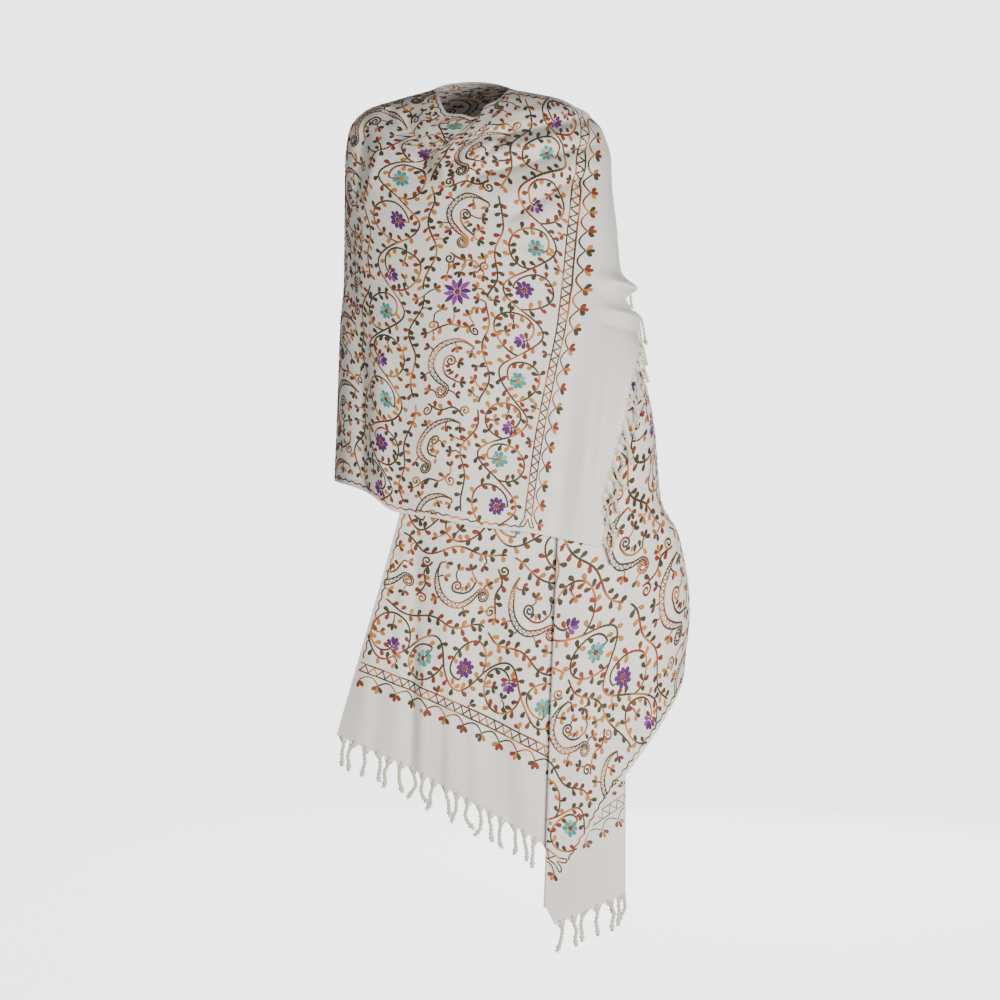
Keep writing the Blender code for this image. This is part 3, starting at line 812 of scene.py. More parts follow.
LEAF_SETS = (
    (RUST, AMBER), (OLIVE, OLIVE), (RUST, OLIVE), (OLIVE, RUST), (AMBER, RUST), (OLIVE, AMBER), (AMBER, OLIVE)
)
FILL_SETS = ((RUST, AMBER, OLIVE), (OLIVE, OLIVE, RUST), (AMBER, RUST, RUST), (OLIVE, AMBER, AMBER))
SCALLOP_SETS = ((RUST, AMBER, RUST), (OLIVE, OLIVE, AMBER), (RUST, OLIVE, RUST), (AMBER, RUST, OLIVE))
SHADES = {TEAL: (TEAL, TEAL, MINT), LILAC: (LILAC, PURPLE)}
# The petals of a plume: how far up its stem each starts, how it leans, and its colour
PLUME = (
    (0.0085, 0, PURPLE), (0.0075, 0.62, LILAC), (0.0075, -0.62, PURPLE), (0.0045, 1.15, LILAC),
    (0.0045, -1.15, PURPLE), (0.0015, 1.6, RUST), (0.0015, -1.6, RUST),
)
# The hook of a paisley, round its middle
PAISLEY = np.array([
    (-0.036, -0.034), (-0.039, -0.014), (-0.032, 0.010), (-0.015, 0.024), (0.004, 0.026), (0.019, 0.016),
    (0.029, 0.002),
])
HOOK_CURL = (0.036, 0.009)  # the middle of the curl at its end
PAISLEY_PLACES = (0.003, 0.120, 0.238, 0.478, 0.596, 0.714)
SPRAY_PLACES = (0.062, 0.180, 0.298, 0.417, 0.537, 0.655)
KINDS = ("plume", "teal", "plume", "teal", "violet")  # of the scrolls, by turns
SCROLL_TURNS = {"plume": 0.86, "violet": 0.74, "teal": 0.80}
FLOWERS = {"violet": (9, (0.0130, 0.0078), PURPLE), "teal": (8, (0.0120, 0.0078), TEAL)}
LEAF_SPOTS = np.array([(0.45, 0), (0.7, 0), (1.0, 0), (0.7, 0.5), (0.7, -0.5), (0.9, 0.3), (0.9, -0.3)])


def dyed(run):
    """The colour of the space-dyed thread at distances along it."""
    at = np.mod(run / DYE_LENGTH, 1) * len(DYE)
    here = np.floor(at).astype(int) % len(DYE)
    blend = ease((at - np.floor(at) - 0.35) / 0.5)[:, None]
    colours = THREADS[list(DYE)]
    return colours[here] * (1 - blend) + colours[(here + 1) % len(DYE)] * blend


def resample(points, step):
    """The same line with points at about equal distances."""
    points = np.asarray(points, float)
    return evened(points, max(2, int(round(lengths(points)[-1] / step)) + 1))


def curve(points, step=VINE_STEP):
    """A soft line through a few points."""
    points = np.asarray(points, float)
    run = lengths(points)
    at = np.linspace(0, run[-1], 24 * len(points))
    padded = np.concatenate([[2 * points[0] - points[1]], points, [2 * points[-1] - points[-2]]])
    i = np.clip(np.searchsorted(run, at, side="right") - 1, 0, len(points) - 2)
    f = ((at - run[i]) / (run[i + 1] - run[i]))[:, None]
    a, b, c, d = (padded[i + k] for k in range(4))
    line = 0.5 * (2 * b + (c - a) * f + (2 * a - 5 * b + 4 * c - d) * f**2 + (3 * b - a - 3 * c + d) * f**3)
    return resample(line, step)


def spiral(centre, start, turns, outer, inner, step=VINE_STEP):
    """A spiral that winds inwards from the angle `start`; turns below zero wind the other way."""
    f = np.linspace(0, 1, 90)
    angle = start + 2 * math.pi * turns * f
    radius = outer + (inner - outer) * f**0.9
    line = np.column_stack([centre[0] + radius * np.cos(angle), centre[1] + radius * np.sin(angle)])
    return resample(line, step)


def tangents(line):
    way = np.gradient(line, axis=0)
    return way / np.maximum(np.linalg.norm(way, axis=1, keepdims=True), 1e-9)


def unit(angle):
    return np.array([math.cos(angle), math.sin(angle)])


def left_of(way):
    """Directions turned by a quarter."""
    return np.stack([-way[..., 1], way[..., 0]], axis=-1)


def offset(line, distance):
    return line + left_of(tangents(line)) * np.reshape(distance, (-1, 1))


def wobbled(places, low, high):
    """Flat places moved a little, unevenly, as by a hook guided by hand. The borders and edges stay."""
    s, t = places[:, 0], places[:, 1]
    share = ease(s / CALM) * ease((CLOTH_WIDTH - s) / CALM) * ease((t - low) / CALM) * ease((high - t) / CALM)
    aside = np.sin(24 * t + 9 * s + 0.6) + 0.5 * np.sin(26 * s - 15 * t + 2.1)
    ahead = np.sin(26 * s - 8 * t + 1.9) + 0.5 * np.sin(27 * t + 14 * s + 0.3)
    return places + WOBBLE * share[:, None] * np.column_stack([aside, ahead])


class Embroidery:
    """Vines and leaves collected on the flat cloth. A leaf goes in only where the cloth is still free."""

    def __init__(self, length):
        self.first, self.last = -FRONT_SPAN - FRONT_PLAIN_END, length
        self.taken = np.zeros((int(CLOTH_WIDTH / CELL) + 1, int((self.last - self.first) / CELL) + 1), bool)
        self.vines, self.leaves, self.knots = [], [], []

    def cells(self, points):
        at = np.column_stack([points[:, 0] / CELL, (points[:, 1] - self.first) / CELL]).astype(int)
        return np.clip(at, 1, np.array(self.taken.shape) - 2)

    def mark(self, points, reach=1):
        at = self.cells(points)
        for i in range(-reach, reach + 1):
            for j in range(-reach, reach + 1):
                s = np.clip(at[:, 0] + i, 0, self.taken.shape[0] - 1)
                t = np.clip(at[:, 1] + j, 0, self.taken.shape[1] - 1)
                self.taken[s, t] = True

    def free(self, points):
        at = self.cells(points)
        return not self.taken[at[:, 0], at[:, 1]].any()

    def inside(self, points, margin=MARGIN):
        s, t = points[:, 0], points[:, 1]
        return (s > margin) & (s < CLOTH_WIDTH - margin) & (t > self.first) & (t < self.last)

    def vine(self, line, width=VINE, phase=None, colour=None):
        """Adds a stitched line, cut where it would leave the cloth."""
        line = np.asarray(line, float)
        phase = rng.uniform(0, DYE_LENGTH) if phase is None else phase
        run = lengths(line) + phase
        ok = self.inside(line)
        cuts = np.flatnonzero(np.diff(ok.astype(int))) + 1
        for part in np.split(np.arange(len(line)), cuts):
            if ok[part[0]] and len(part) > 2:
                tint = dyed(run[part]) if colour is None else np.tile(THREADS[colour], (len(part), 1))
                self.vines.append((line[part], width, run[part], tint))
                self.mark(line[part])
        return line

    def leaf_points(self, root, angle, size):
        way = unit(angle)
        return root + way * size[0] * LEAF_SPOTS[:, :1] + left_of(way) * size[1] * LEAF_SPOTS[:, 1:]

    def leaf(self, root, angle, size=LEAF, colour=OLIVE, force=False, pointed=False):
        return self.spray_of([(root, angle, size, colour)], force, pointed)

    def spray_of(self, leaves, force=False, pointed=False):
        """Leaves that are all tested before the first one is put down. Returns how many found room."""
        fit = []
        for root, angle, size, colour in leaves:
            points = self.leaf_points(np.asarray(root), angle, size)
            if self.inside(points, 0.004).all() and (force or self.free(points)):
                fit.append((points, (*root, angle, *size, colour, pointed)))
        for points, leaf in fit:
            self.leaves.append(leaf)
            self.mark(points)
        return len(fit)

    def knot(self, centre, radius, colour):
        """A small round of stitches."""
        if self.inside(np.array([centre])).all():
            self.knots.append((*centre, radius, colour))
            self.mark(np.array([centre]), 2)

    def dress(self, line, step=LEAF_STEP, start=0.009, spread=0.95, size=LEAF):
        """Leaves in pairs along a vine."""
        run = lengths(line)
        way = tangents(line)
        for at in np.arange(start, run[-1] - 0.004, step):
            i = int(np.searchsorted(run, at + rng.uniform(-0.002, 0.002)))
            heading = math.atan2(way[i, 1], way[i, 0])
            colours = LEAF_SETS[int(rng.integers(len(LEAF_SETS)))]
            grown = rng.uniform(0.88, 1.08)
            own = (size[0] * grown, size[1])
            leans = [heading + hand * (spread + rng.uniform(-0.18, 0.18)) for hand in (1, -1)]
            self.spray_of([(line[i], lean, own, colour) for lean, colour in zip(leans, colours)])

    def sprig(self, root, heading, colours, size=LEAF, spread=0.95, force=False):
        leaves = [(root, heading + hand * spread, size, colour) for hand, colour in zip((0, 1, -1), colours)]
        return self.spray_of(leaves, force)

    def daisy(self, centre, petals, size, colour, heart, pointed=False):
        shade = SHADES.get(colour, (colour,))
        for k in range(petals):
            angle = 2 * math.pi * k / petals + 0.2
            petal = (size[0] * (1 + 0.08 * math.sin(2.4 * k)), size[1])
            root = np.array(centre) + 0.0020 * unit(angle)
            self.leaf(root, angle, petal, shade[k % len(shade)], True, pointed)
        self.knot(centre, 0.0045, heart)

    def plume(self, root, heading):
        """Seven petals on a short stem, the flower that stands on a curled vine."""
        way = unit(heading)
        self.vine(np.linspace(root, np.array(root) + way * 0.008, 6), FINE_VINE, colour=OLIVE)
        for at, lean, colour in PLUME:
            self.leaf(np.array(root) + way * at, heading + lean, (0.0140, 0.0074), colour, True)

    def feather(self, root, heading, colour):
        """A fern leaf with five pairs of narrow leaflets."""
        way = unit(heading)
        self.vine(np.linspace(root, np.array(root) + way * 0.026, 14), FINE_VINE, colour=colour)
        for k in range(5):
            place = np.array(root) + way * (0.005 + 0.0048 * k)
            for hand in (1, -1):
                self.leaf(place, heading + hand * 0.85, (0.0115 - 0.0009 * k, 0.0034), colour, True)
        self.leaf(np.array(root) + way * 0.025, heading, (0.008, 0.0038), colour, True)

    def pins(self, line, places, hand, phase):
        """Leaves that stand off one side of a vine."""
        across = left_of(tangents(line)) * hand
        for share, reach in places:
            i = int(share * (len(line) - 1))
            angle = math.atan2(across[i, 1], across[i, 0]) + 0.2 * hand
            colour = (RUST, OLIVE, AMBER)[int(phase + i) % 3]
            self.leaf(line[i] + across[i] * 0.001, angle, (reach, 0.0062), colour, True)

    def scroll(self, centre, hand, kind):
        """A branch that leaves the swinging vine where a bay ends, and winds back round a flower."""
        f = np.linspace(0, 1, 80)
        angle = -hand * 2 * math.pi * SCROLL_TURNS[kind] * f
        radius = BAY / 2 * (1 - ease((f - 0.25) / 0.75) * 0.55)
        line = np.array(centre) + np.column_stack([radius * np.cos(angle), 1.12 * radius * np.sin(angle)])
        line = self.vine(resample(line, VINE_STEP))
        way = tangents(line)[-1]
        if kind == "plume":
            self.plume(line[-1], math.atan2(way[1], way[0]) - 0.5 * hand)
            return line
        middle = np.array(centre) + 0.002 * way
        bend_at = (line[-1] + middle) / 2 + 0.15 * (line[-1] - line[-4])
        self.vine(curve([line[-4], line[-1], bend_at, middle]), FINE_VINE)
        self.daisy(middle, *FLOWERS[kind], AMBER if kind == "teal" and hand > 0 else RUST)
        return line

    def paisley(self, s, t, phase):
        """A hooked double line with a scalloped chain in it, and a curl with stalks in its hollow."""
        at = np.array([s, t])
        body = curve(at + PAISLEY)
        hook = np.concatenate([body, spiral(at + HOOK_CURL, -0.75 * math.pi, 1.3, 0.0098, 0.0022)[1:]])
        share = np.linspace(0, 1, len(hook))
        wide = 0.0033 * ease(share / 0.25) * (1 - 0.62 * ease((share - 0.55) / 0.2)) + 0.0004
        self.vine(offset(hook, wide), FINE_VINE, phase)
        self.vine(offset(hook, -wide), FINE_VINE, phase + 0.02)
        wave = resample(hook, 0.0009)
        run = lengths(wave)
        wave_wide = np.interp(run / run[-1], share, wide)
        ripple = np.sin(run / 0.0074 * 2 * math.pi)
        reach = np.maximum(wave_wide * 0.8, 0.0021 * ease((run / run[-1] - 0.5) / 0.2))
        self.vine(offset(wave, reach * ripple), 0.0018, phase + 0.1)
        curl = spiral(at + (-0.007, 0.0085 - CURL), math.pi / 2, 1.7, CURL, 0.0012)
        tail = curve([at + (0.021, -0.010), at + (0.015, 0.003), at + (0.005, 0.009), curl[0]])
        self.vine(np.concatenate([tail, curl[1:]]), VINE, phase + 0.16)
        self.pins(tail, ((0.12, 0.011), (0.40, 0.012), (0.64, 0.011), (0.86, 0.010)), 1, phase * 100)
        self.pins(tail, ((0.02, 0.011),), -1, phase * 70)
        return hook

    def spray(self, s, t, hand):
        """A crossing stem with a curl at each end."""
        at = np.array([s, t])
        bends = ((0.010, -0.034), (0.000, -0.016), (0.004, 0.004), (-0.006, 0.026))
        stem = self.vine(curve([at + (aside * hand, ahead) for aside, ahead in bends]))
        for end, side in ((0, hand), (-1, -hand)):
            centre = stem[end] - np.array([CURL * side, 0])
            turns = 1.55 * side * (1 if end == 0 else -1)
            self.vine(spiral(centre, 0 if side > 0 else math.pi, turns, CURL, 0.0012))
        self.dress(stem, 0.0135)

    def ladder(self, t, out):
        """The border across the cloth: two lines with a zigzag between, and sprigs on a scalloped vine."""
        s = np.arange(0.006, CLOTH_WIDTH - 0.020, VINE_STEP)
        for hand in (1, -1):
            self.vine(np.column_stack([s, t + 0 * s + hand * LADDER_HALF]), FINE_VINE, 0.11 * hand + 0.2)
            places = ((0, 1.0), (0.006, 1.5), (0.0125, 2.0), (0.0135, 1.1), (0.0075, 0.45), (0, 0.1))
            loop = [(s[-1] + ahead, t + hand * LADDER_HALF * off) for ahead, off in places]
            self.vine(curve(loop, 0.0014), FINE_VINE, 0.1)
        turns = np.arange(0.008, CLOTH_WIDTH - 0.022, 0.0074)
        zigzag = np.column_stack([turns, t + LADDER_HALF * 0.8 * (1 - 2 * (np.arange(len(turns)) % 2))])
        self.vine(resample(zigzag, 0.0016), 0.0030, 0.05)
        count = int((CLOTH_WIDTH - 0.024) / LADDER_PITCH)
        f = np.linspace(0, count, int(count * LADDER_PITCH / VINE_STEP))
        off = t + out * (SCALLOP - 0.0090 * np.abs(np.sin(math.pi * f)))
        self.vine(np.column_stack([0.012 + f * LADDER_PITCH, off]), FINE_VINE, 0.07)
        for k in range(count + 1):
            root = (0.012 + k * LADDER_PITCH, t + out * SCALLOP)
            self.sprig(root, out * math.pi / 2, SCALLOP_SETS[(k * 3) % 4], (0.0132, 0.0074), 0.85, True)

    def edge_line(self, s, t0, t1):
        t = np.arange(t0, t1, 0.0015)
        line = np.column_stack([s + 0.0012 * np.sin(t / 0.0165 * 2 * math.pi), t])
        self.vine(line, FINE_VINE, 0.03)

    def fill(self):
        """Puts a small sprig, stalked to the nearest vine, wherever the cloth is still bare."""
        anchors = np.concatenate([line[::4] for line, width, *_ in self.vines if width >= FINE_VINE])
        ring = [(math.cos(a), math.sin(a)) for a in np.linspace(0, 2 * math.pi, 12, endpoint=False)]
        disc = np.array([(0, 0), *[(r * x, r * y) for r in (FILL_REACH, FILL_REACH / 2) for x, y in ring]])
        low, high = -FRONT_SPAN + 0.010, self.last - PLAIN_END - 0.010
        for s in np.arange(0.012, CLOTH_WIDTH - 0.010, FILL_STEP):
            for t in np.arange(low, high, FILL_STEP):
                place = np.array([s, t]) + rng.uniform(-0.0015, 0.0015, 2)
                if self.free(disc + place):
                    self.fill_at(place, anchors)

    def fill_at(self, place, anchors):
        gap = anchors - place
        nearest = int((gap**2).sum(axis=1).argmin())
        anchor, way = anchors[nearest], -gap[nearest]
        size = math.hypot(*way)
        if size > STALK:
            return
        root = place - way / max(size, 1e-9) * min(size, STEM)
        if size > STEM:
            bow = left_of(way) * rng.uniform(-0.2, 0.2)
            self.vine(curve([anchor, anchor + way * 0.5 + bow, root], 0.0016), FINE_VINE)
        colours = FILL_SETS[int(rng.integers(len(FILL_SETS)))]
        self.sprig(root, math.atan2(way[1], way[0]), colours, (0.0112, 0.0066))

    def paisley_column(self, k, t):
        for j, s in enumerate(PAISLEY_PLACES):
            self.paisley(s, t, 0.07 * k + 0.11 * j)
        if k % 4 == 1:
            self.daisy((CLOTH_WIDTH / 2, t), 10, (0.0220, 0.0088), LILAC, RUST, True)
        else:
            self.feather((CLOTH_WIDTH / 2 - 0.014, t + 0.012), 2.6, RUST)
            self.feather((CLOTH_WIDTH / 2 + 0.008, t - 0.010), -0.4, OLIVE)
        for j, s in enumerate(SPRAY_PLACES):
            self.spray(s, t, (1, -1)[j % 2])

    def scroll_column(self, k, t):
        """A vine that swings across the cloth, and a scroll in each of its bays."""
        count = int(CLOTH_WIDTH / BAY)
        first = (CLOTH_WIDTH - BAY * count) / 2
        s = np.arange(0.004, CLOTH_WIDTH - 0.004, 0.001)
        wave = SWING * np.sin(math.pi * (s - first) / BAY)
        meander = self.vine(resample(np.column_stack([s, t + wave]), VINE_STEP), VINE, 0.05 * k)
        scrolls = []
        for i in range(count):
            kind = KINDS[(i + 3 * k) % len(KINDS)]
            scrolls.append(self.scroll((first + BAY * (i + 0.5), t), (1, -1)[i % 2], kind))
        return meander, scrolls

    def parting_vine(self, k, t):
        """A vine between two columns, in four parts."""
        s = np.arange(0.012, CLOTH_WIDTH - 0.012, 0.001)
        swing = 0.0055 * np.sin(s / 0.083 * 2 * math.pi + 1.3 * k)
        line = np.column_stack([s, t + swing + 0.002 * np.sin(s / 0.031)])
        return [self.vine(part[2:-3], VINE) for part in np.array_split(resample(line, VINE_STEP), 4)]

    def lay_out(self):
        """The whole cloth: borders, then scrolls and paisleys by turns, then the rest."""
        field = (-FRONT_SPAN, self.last - PLAIN_END)
        self.ladder(field[0], -1)
        self.ladder(field[1], 1)
        for s in (0.0075, CLOTH_WIDTH - 0.0075):
            self.edge_line(s, field[0] + 0.012, field[1] - 0.012)
        places = np.linspace(field[0] + FIRST_COLUMN, field[1] - FIRST_COLUMN, COLUMNS)
        meanders, dressed = [], []
        for k, t in enumerate(places):
            if k % 2:
                self.paisley_column(k, t)
            else:
                meander, scrolls = self.scroll_column(k, t)
                meanders.append(meander)
                dressed += scrolls
        for k, (t, after) in enumerate(zip(places, places[1:])):
            dressed += self.parting_vine(k, (t + after) / 2)
        for line in dressed + meanders:
            self.dress(line)
        self.fill()
        self.vines = [(wobbled(line, *field), *rest) for line, *rest in self.vines]
        for shapes in (self.leaves, self.knots):
            places = wobbled(np.array([shape[:2] for shape in shapes], float), *field)
            shapes[:] = [(*place, *shape[2:]) for place, shape in zip(places.tolist(), shapes)]


# ---------------------------------------------------------------- meshes
STRETCHES = ("back_wrap", "front_wrap", "front_end", "fall_panel", "fall_return", "fall_front")
FACE_HEIGHT = 0.0007
REVERSE_HEIGHT = 0.0003


class Pile:
    """Points and faces gathered from many small shapes: a colour for each point, a stretch for each face."""

    def __init__(self):
        self.points, self.colours, self.faces, self.labels, self.count = [], [], [], [], 0

    def add(self, points, colours, faces, labels):
        self.points.append(points)
        self.colours.append(colours)
        self.faces.append(np.asarray(faces) + self.count)
        self.labels.append(labels)
        self.count += len(points)

    def split(self, label):
        faces = np.concatenate(self.faces)[np.concatenate(self.labels) == label]
        used, places = np.unique(faces, return_inverse=True)
        points, colours = np.concatenate(self.points)[used], np.concatenate(self.colours)[used]
        return points, places.reshape(faces.shape), colours


def new_object(name, points, faces, material):
    mesh = bpy.data.meshes.new(name)
    mesh.vertices.add(len(points))
    mesh.vertices.foreach_set("co", np.asarray(points, np.float32).ravel())
    sides = len(faces[0])
    mesh.loops.add(len(faces) * sides)
    mesh.loops.foreach_set("vertex_index", np.asarray(faces, np.int32).ravel())
    mesh.polygons.add(len(faces))
    mesh.polygons.foreach_set("loop_start", np.arange(0, len(faces) * sides, sides, dtype=np.int32))
    mesh.update(calc_edges=True)
    mesh.polygons.foreach_set("use_smooth", np.ones(len(faces), bool))
    mesh.materials.append(material)
    piece = bpy.data.objects.new(name, mesh)
    bpy.context.scene.collection.objects.link(piece)
    return piece


def attribute(piece, name, kind, values):
    layer = piece.data.attributes.new(name, kind, "POINT")
    values = np.asarray(values, np.float32)
    if kind == "FLOAT_COLOR":
        values = np.column_stack([values, np.ones(len(values), np.float32)])
    layer.data.foreach_set("color" if kind == "FLOAT_COLOR" else "vector", values.ravel())


def shell(name, grid, normals, flat, material):
    """A closed thin sheet whose face is WALL off the grid."""
    rows, columns = grid.shape[:2]
    count = rows * columns
    index = np.arange(count).reshape(rows, columns)
    quads = quads_of(index)
    rim = np.concatenate([index[0, :-1], index[:-1, -1], index[-1, :0:-1], index[:0:-1, 0]])
    turn = np.roll(rim, -1)
    edges = np.column_stack([rim + count, turn + count, turn, rim])
    faces = np.concatenate([quads + count, quads[:, ::-1], edges])
    points = np.concatenate([grid + normals * (WALL - THICKNESS), grid + normals * WALL]).reshape(-1, 3)
    piece = new_object("cloth_" + name, points, faces, material)
    side_of = np.concatenate([np.zeros(count), np.ones(count)])
    weave = np.column_stack([np.tile(flat.reshape(-1, 2), (2, 1)), side_of])
    attribute(piece, "weave", "FLOAT_VECTOR", weave)
    around = normals.reshape(-1, 3)
    own_edges = np.zeros((edges.size, 3))
    loops = np.concatenate([around[quads.ravel()], -around[quads[:, ::-1].ravel()], own_edges])
    piece.data.normals_split_custom_set(loops.tolist())
    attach(piece, "root")
    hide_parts(name)
    return piece


# ---------------------------------------------------------------- materials
WHITE = (1, 1, 1)


def node(tree, kind, output, inputs, **settings):
    """Adds a node, sets its inputs or links them to outputs, and returns one of its outputs."""
    made = tree.nodes.new("ShaderNode" + kind)
    for name, value in settings.items():
        setattr(made, name, value)
    for name, value in inputs.items():
        if isinstance(value, bpy.types.NodeSocket):
            tree.links.new(value, made.inputs[name])
        else:
            made.inputs[name].default_value = value
    return made.outputs[output] if output else made


def new_material(name):
    material = bpy.data.materials.new(name)
    material.use_nodes = True
    material.node_tree.nodes.clear()
    return material, material.node_tree


def finished(tree, colour, roughness, **inputs):
    inputs = {"Base Color": colour, "Roughness": roughness} | {
        name.replace("_", " "): value for name, value in inputs.items()
    }
    node(tree, "OutputMaterial", None, {"Surface": node(tree, "BsdfPrincipled", "BSDF", inputs)})


def scaled(tree, source, scale, rotation=0.0):
    return node(tree, "Mapping", "Vector", {"Scale": scale, "Rotation": (0, 0, rotation), "Vector": source})


def noise(tree, vector, scale, detail=3.0):
    return node(tree, "TexNoise", "Fac", {"Scale": scale, "Detail": detail, "Vector": vector})


def ramp(tree, source, *stops):
    colour = node(tree, "ValToRGB", "Color", {"Fac": source})
    for element, (at, shade) in zip(colour.node.color_ramp.elements, stops):
        element.position, element.color = at, (*shade, 1)
    return colour


def multiplied(tree, one, other, share):
    inputs = {"Factor": share, "A": one, "B": other}
    return node(tree, "Mix", "Result", inputs, data_type="RGBA", blend_type="MULTIPLY")


def bump(tree, height, distance, strength, after=None):
    inputs = {"Strength": strength, "Distance": distance, "Height": height}
    return node(tree, "Bump", "Normal", inputs if after is None else inputs | {"Normal": after})


def wool_material(name, light, dark):
    """Fine twill: a diagonal rib with uneven yarns across it."""
    material, tree = new_material(name)
    flat = node(tree, "Attribute", "Vector", {}, attribute_name="weave")
    rib_at = scaled(tree, flat, (330, 330, 0), 0.9)
    rib = node(tree, "TexWave", "Fac", {"Scale": 1.0, "Distortion": 1.2, "Detail": 1.0, "Vector": rib_at})
    yarns = noise(tree, scaled(tree, flat, (900, 60, 0)), 1.0)
    picks = noise(tree, scaled(tree, flat, (60, 1100, 0)), 1.0)
    mottle = noise(tree, scaled(tree, flat, (7, 11, 0)), 1.0, 4.0)
    tone = ramp(tree, mottle, (0.3, dark), (0.7, light))
    shade = ramp(tree, yarns, (0.3, (0.90, 0.895, 0.88)), (0.6, WHITE))
    normal = None
    for height, distance, strength in ((rib, 0.00022, 0.55), (yarns, 0.00030, 0.5), (picks, 0.00025, 0.4)):
        normal = bump(tree, height, distance, strength, normal)
    gloss = {"Specular_IOR_Level": 0.22, "Sheen_Weight": 0.12, "Sheen_Roughness": 0.45}
    finished(tree, multiplied(tree, tone, shade, 0.5), 0.88, Normal=normal, **gloss)
    return material


def thread_material():
    """Slack chain-stitch yarn, a little lustrous, in the colours of the attribute."""
    material, tree = new_material("embroidery_thread")
    # The "thread" colours hold the dye and the painted shade on the stitches' sides, rims and links.
    thread = node(tree, "Attribute", "Color", {}, attribute_name="thread")
    fibre = noise(tree, node(tree, "TexCoord", "Object", {}), 1900.0, 2.0)
    shade = ramp(tree, fibre, (0.35, (0.62, 0.60, 0.58)), (0.62, WHITE))
    normal = bump(tree, fibre, 0.0003, 0.7)
    gloss = {"Specular_IOR_Level": 0.32, "Sheen_Weight": 0.12}
    finished(tree, multiplied(tree, thread, shade, 0.75), 0.62, Normal=normal, **gloss)
    return material


def yarn_material():
    material, tree = new_material("fringe_yarn")
    fibre = noise(tree, node(tree, "TexCoord", "Object", {}), 1400.0)
    colour = ramp(tree, fibre, (0.3, (0.52, 0.48, 0.38)), (0.65, (0.80, 0.765, 0.67)))
    finished(tree, colour, 0.85, Normal=bump(tree, fibre, 0.0004, 0.8), Sheen_Weight=0.2)
    return material


# ---------------------------------------------------------------- tassels
PLY = 0.0019
PLY_PITCH = 0.0125
KNOT = 0.0046
RINGS = 60  # of a cord from its root to its tip
CORD_RINGS = 49  # of them down to the knot
HUNG = 4  # straight pieces of a tassel's middle line
ENDS = 6  # loose ends below the knot
END_SPREAD = 0.0024
WARP_SPOTS = np.array([-0.0078, -0.0052, -0.0026, 0, 0.0026, 0.0052, 0.0078])  # along the edge, round a root
WARP = 0.0008


def frame_along(path, side_way):
    """Two directions across a path at each of its points, that don't twist."""
    way = np.gradient(path, axis=0)
    way /= np.linalg.norm(way, axis=1, keepdims=True)
    aside = np.cross(way, side_way)
    aside /= np.linalg.norm(aside, axis=1, keepdims=True)
    return aside, np.cross(way, aside)


def around(aside, facing, angle):
    """Unit directions at an angle round each point of a path."""
    return aside * np.cos(angle)[:, None] + facing * np.sin(angle)[:, None]


def tube(path, radius, sides, side_way, pile):
    """A closed tube, triangulated."""
    aside, facing = frame_along(path, side_way)
    angle = 2 * math.pi * np.arange(sides) / sides
    ring = aside[:, None] * np.cos(angle)[None, :, None] + facing[:, None] * np.sin(angle)[None, :, None]
    points = path[:, None] + ring * np.reshape(radius * np.ones(len(path)), (-1, 1, 1))
    points = np.concatenate([points.reshape(-1, 3), path[:1], path[-1:]])
    index = np.arange(len(path) * sides).reshape(len(path), sides)
    quads = quads_of(np.column_stack([index, index[:, 0]]))
    there = np.roll(index, -1, axis=1)
    tip = np.full(sides, len(points) - 1)
    first, last = np.stack([tip - 1, there[0], index[0]], -1), np.stack([tip, index[-1], there[-1]], -1)
    faces = np.concatenate([quads[:, (0, 3, 2)], quads[:, (0, 2, 1)], first, last])
    pile.add(points, np.ones((len(points), 3)), faces, np.zeros(len(faces), int))


def tassel_path(root, out, normal, turn, droop, lean):
    """The middle of a tassel that leaves its root outwards and hangs down, as the part's own does."""
    down = np.array([0, 0, -1.0])
    aside = np.cross(normal, down)
    points = [root - out * 0.004, root]
    for ring in range(1, HUNG + 1):
        share = ring / HUNG
        way = out * (1 - droop * share) + down * droop * (0.4 + share) + normal * lean
        way = way + 0.22 * math.sin(2.3 * ring + 1.7 * turn) * aside
        points.append(points[-1] + way / np.linalg.norm(way) * TASSEL_LENGTH / HUNG)
    run = np.array([-0.1, 0, 0.25, 0.5, 0.75, 1.0])[:, None]
    bow = 0.0055 * math.sin(4.3 * turn + 0.7) * np.sin(math.pi * run)
    bow = bow + 0.0105 * math.sin(2.9 * turn + 0.4) * run**4
    return np.array(points) + aside * bow + normal * 0.0016 * (1 + math.sin(3.7 * turn)) * run


def soft_path(points, count):
    points = np.array(points)
    run = lengths(points)
    at = np.linspace(0, run[-1], count)
    return np.column_stack([smooth(run, points[:, k], at) for k in range(3)])


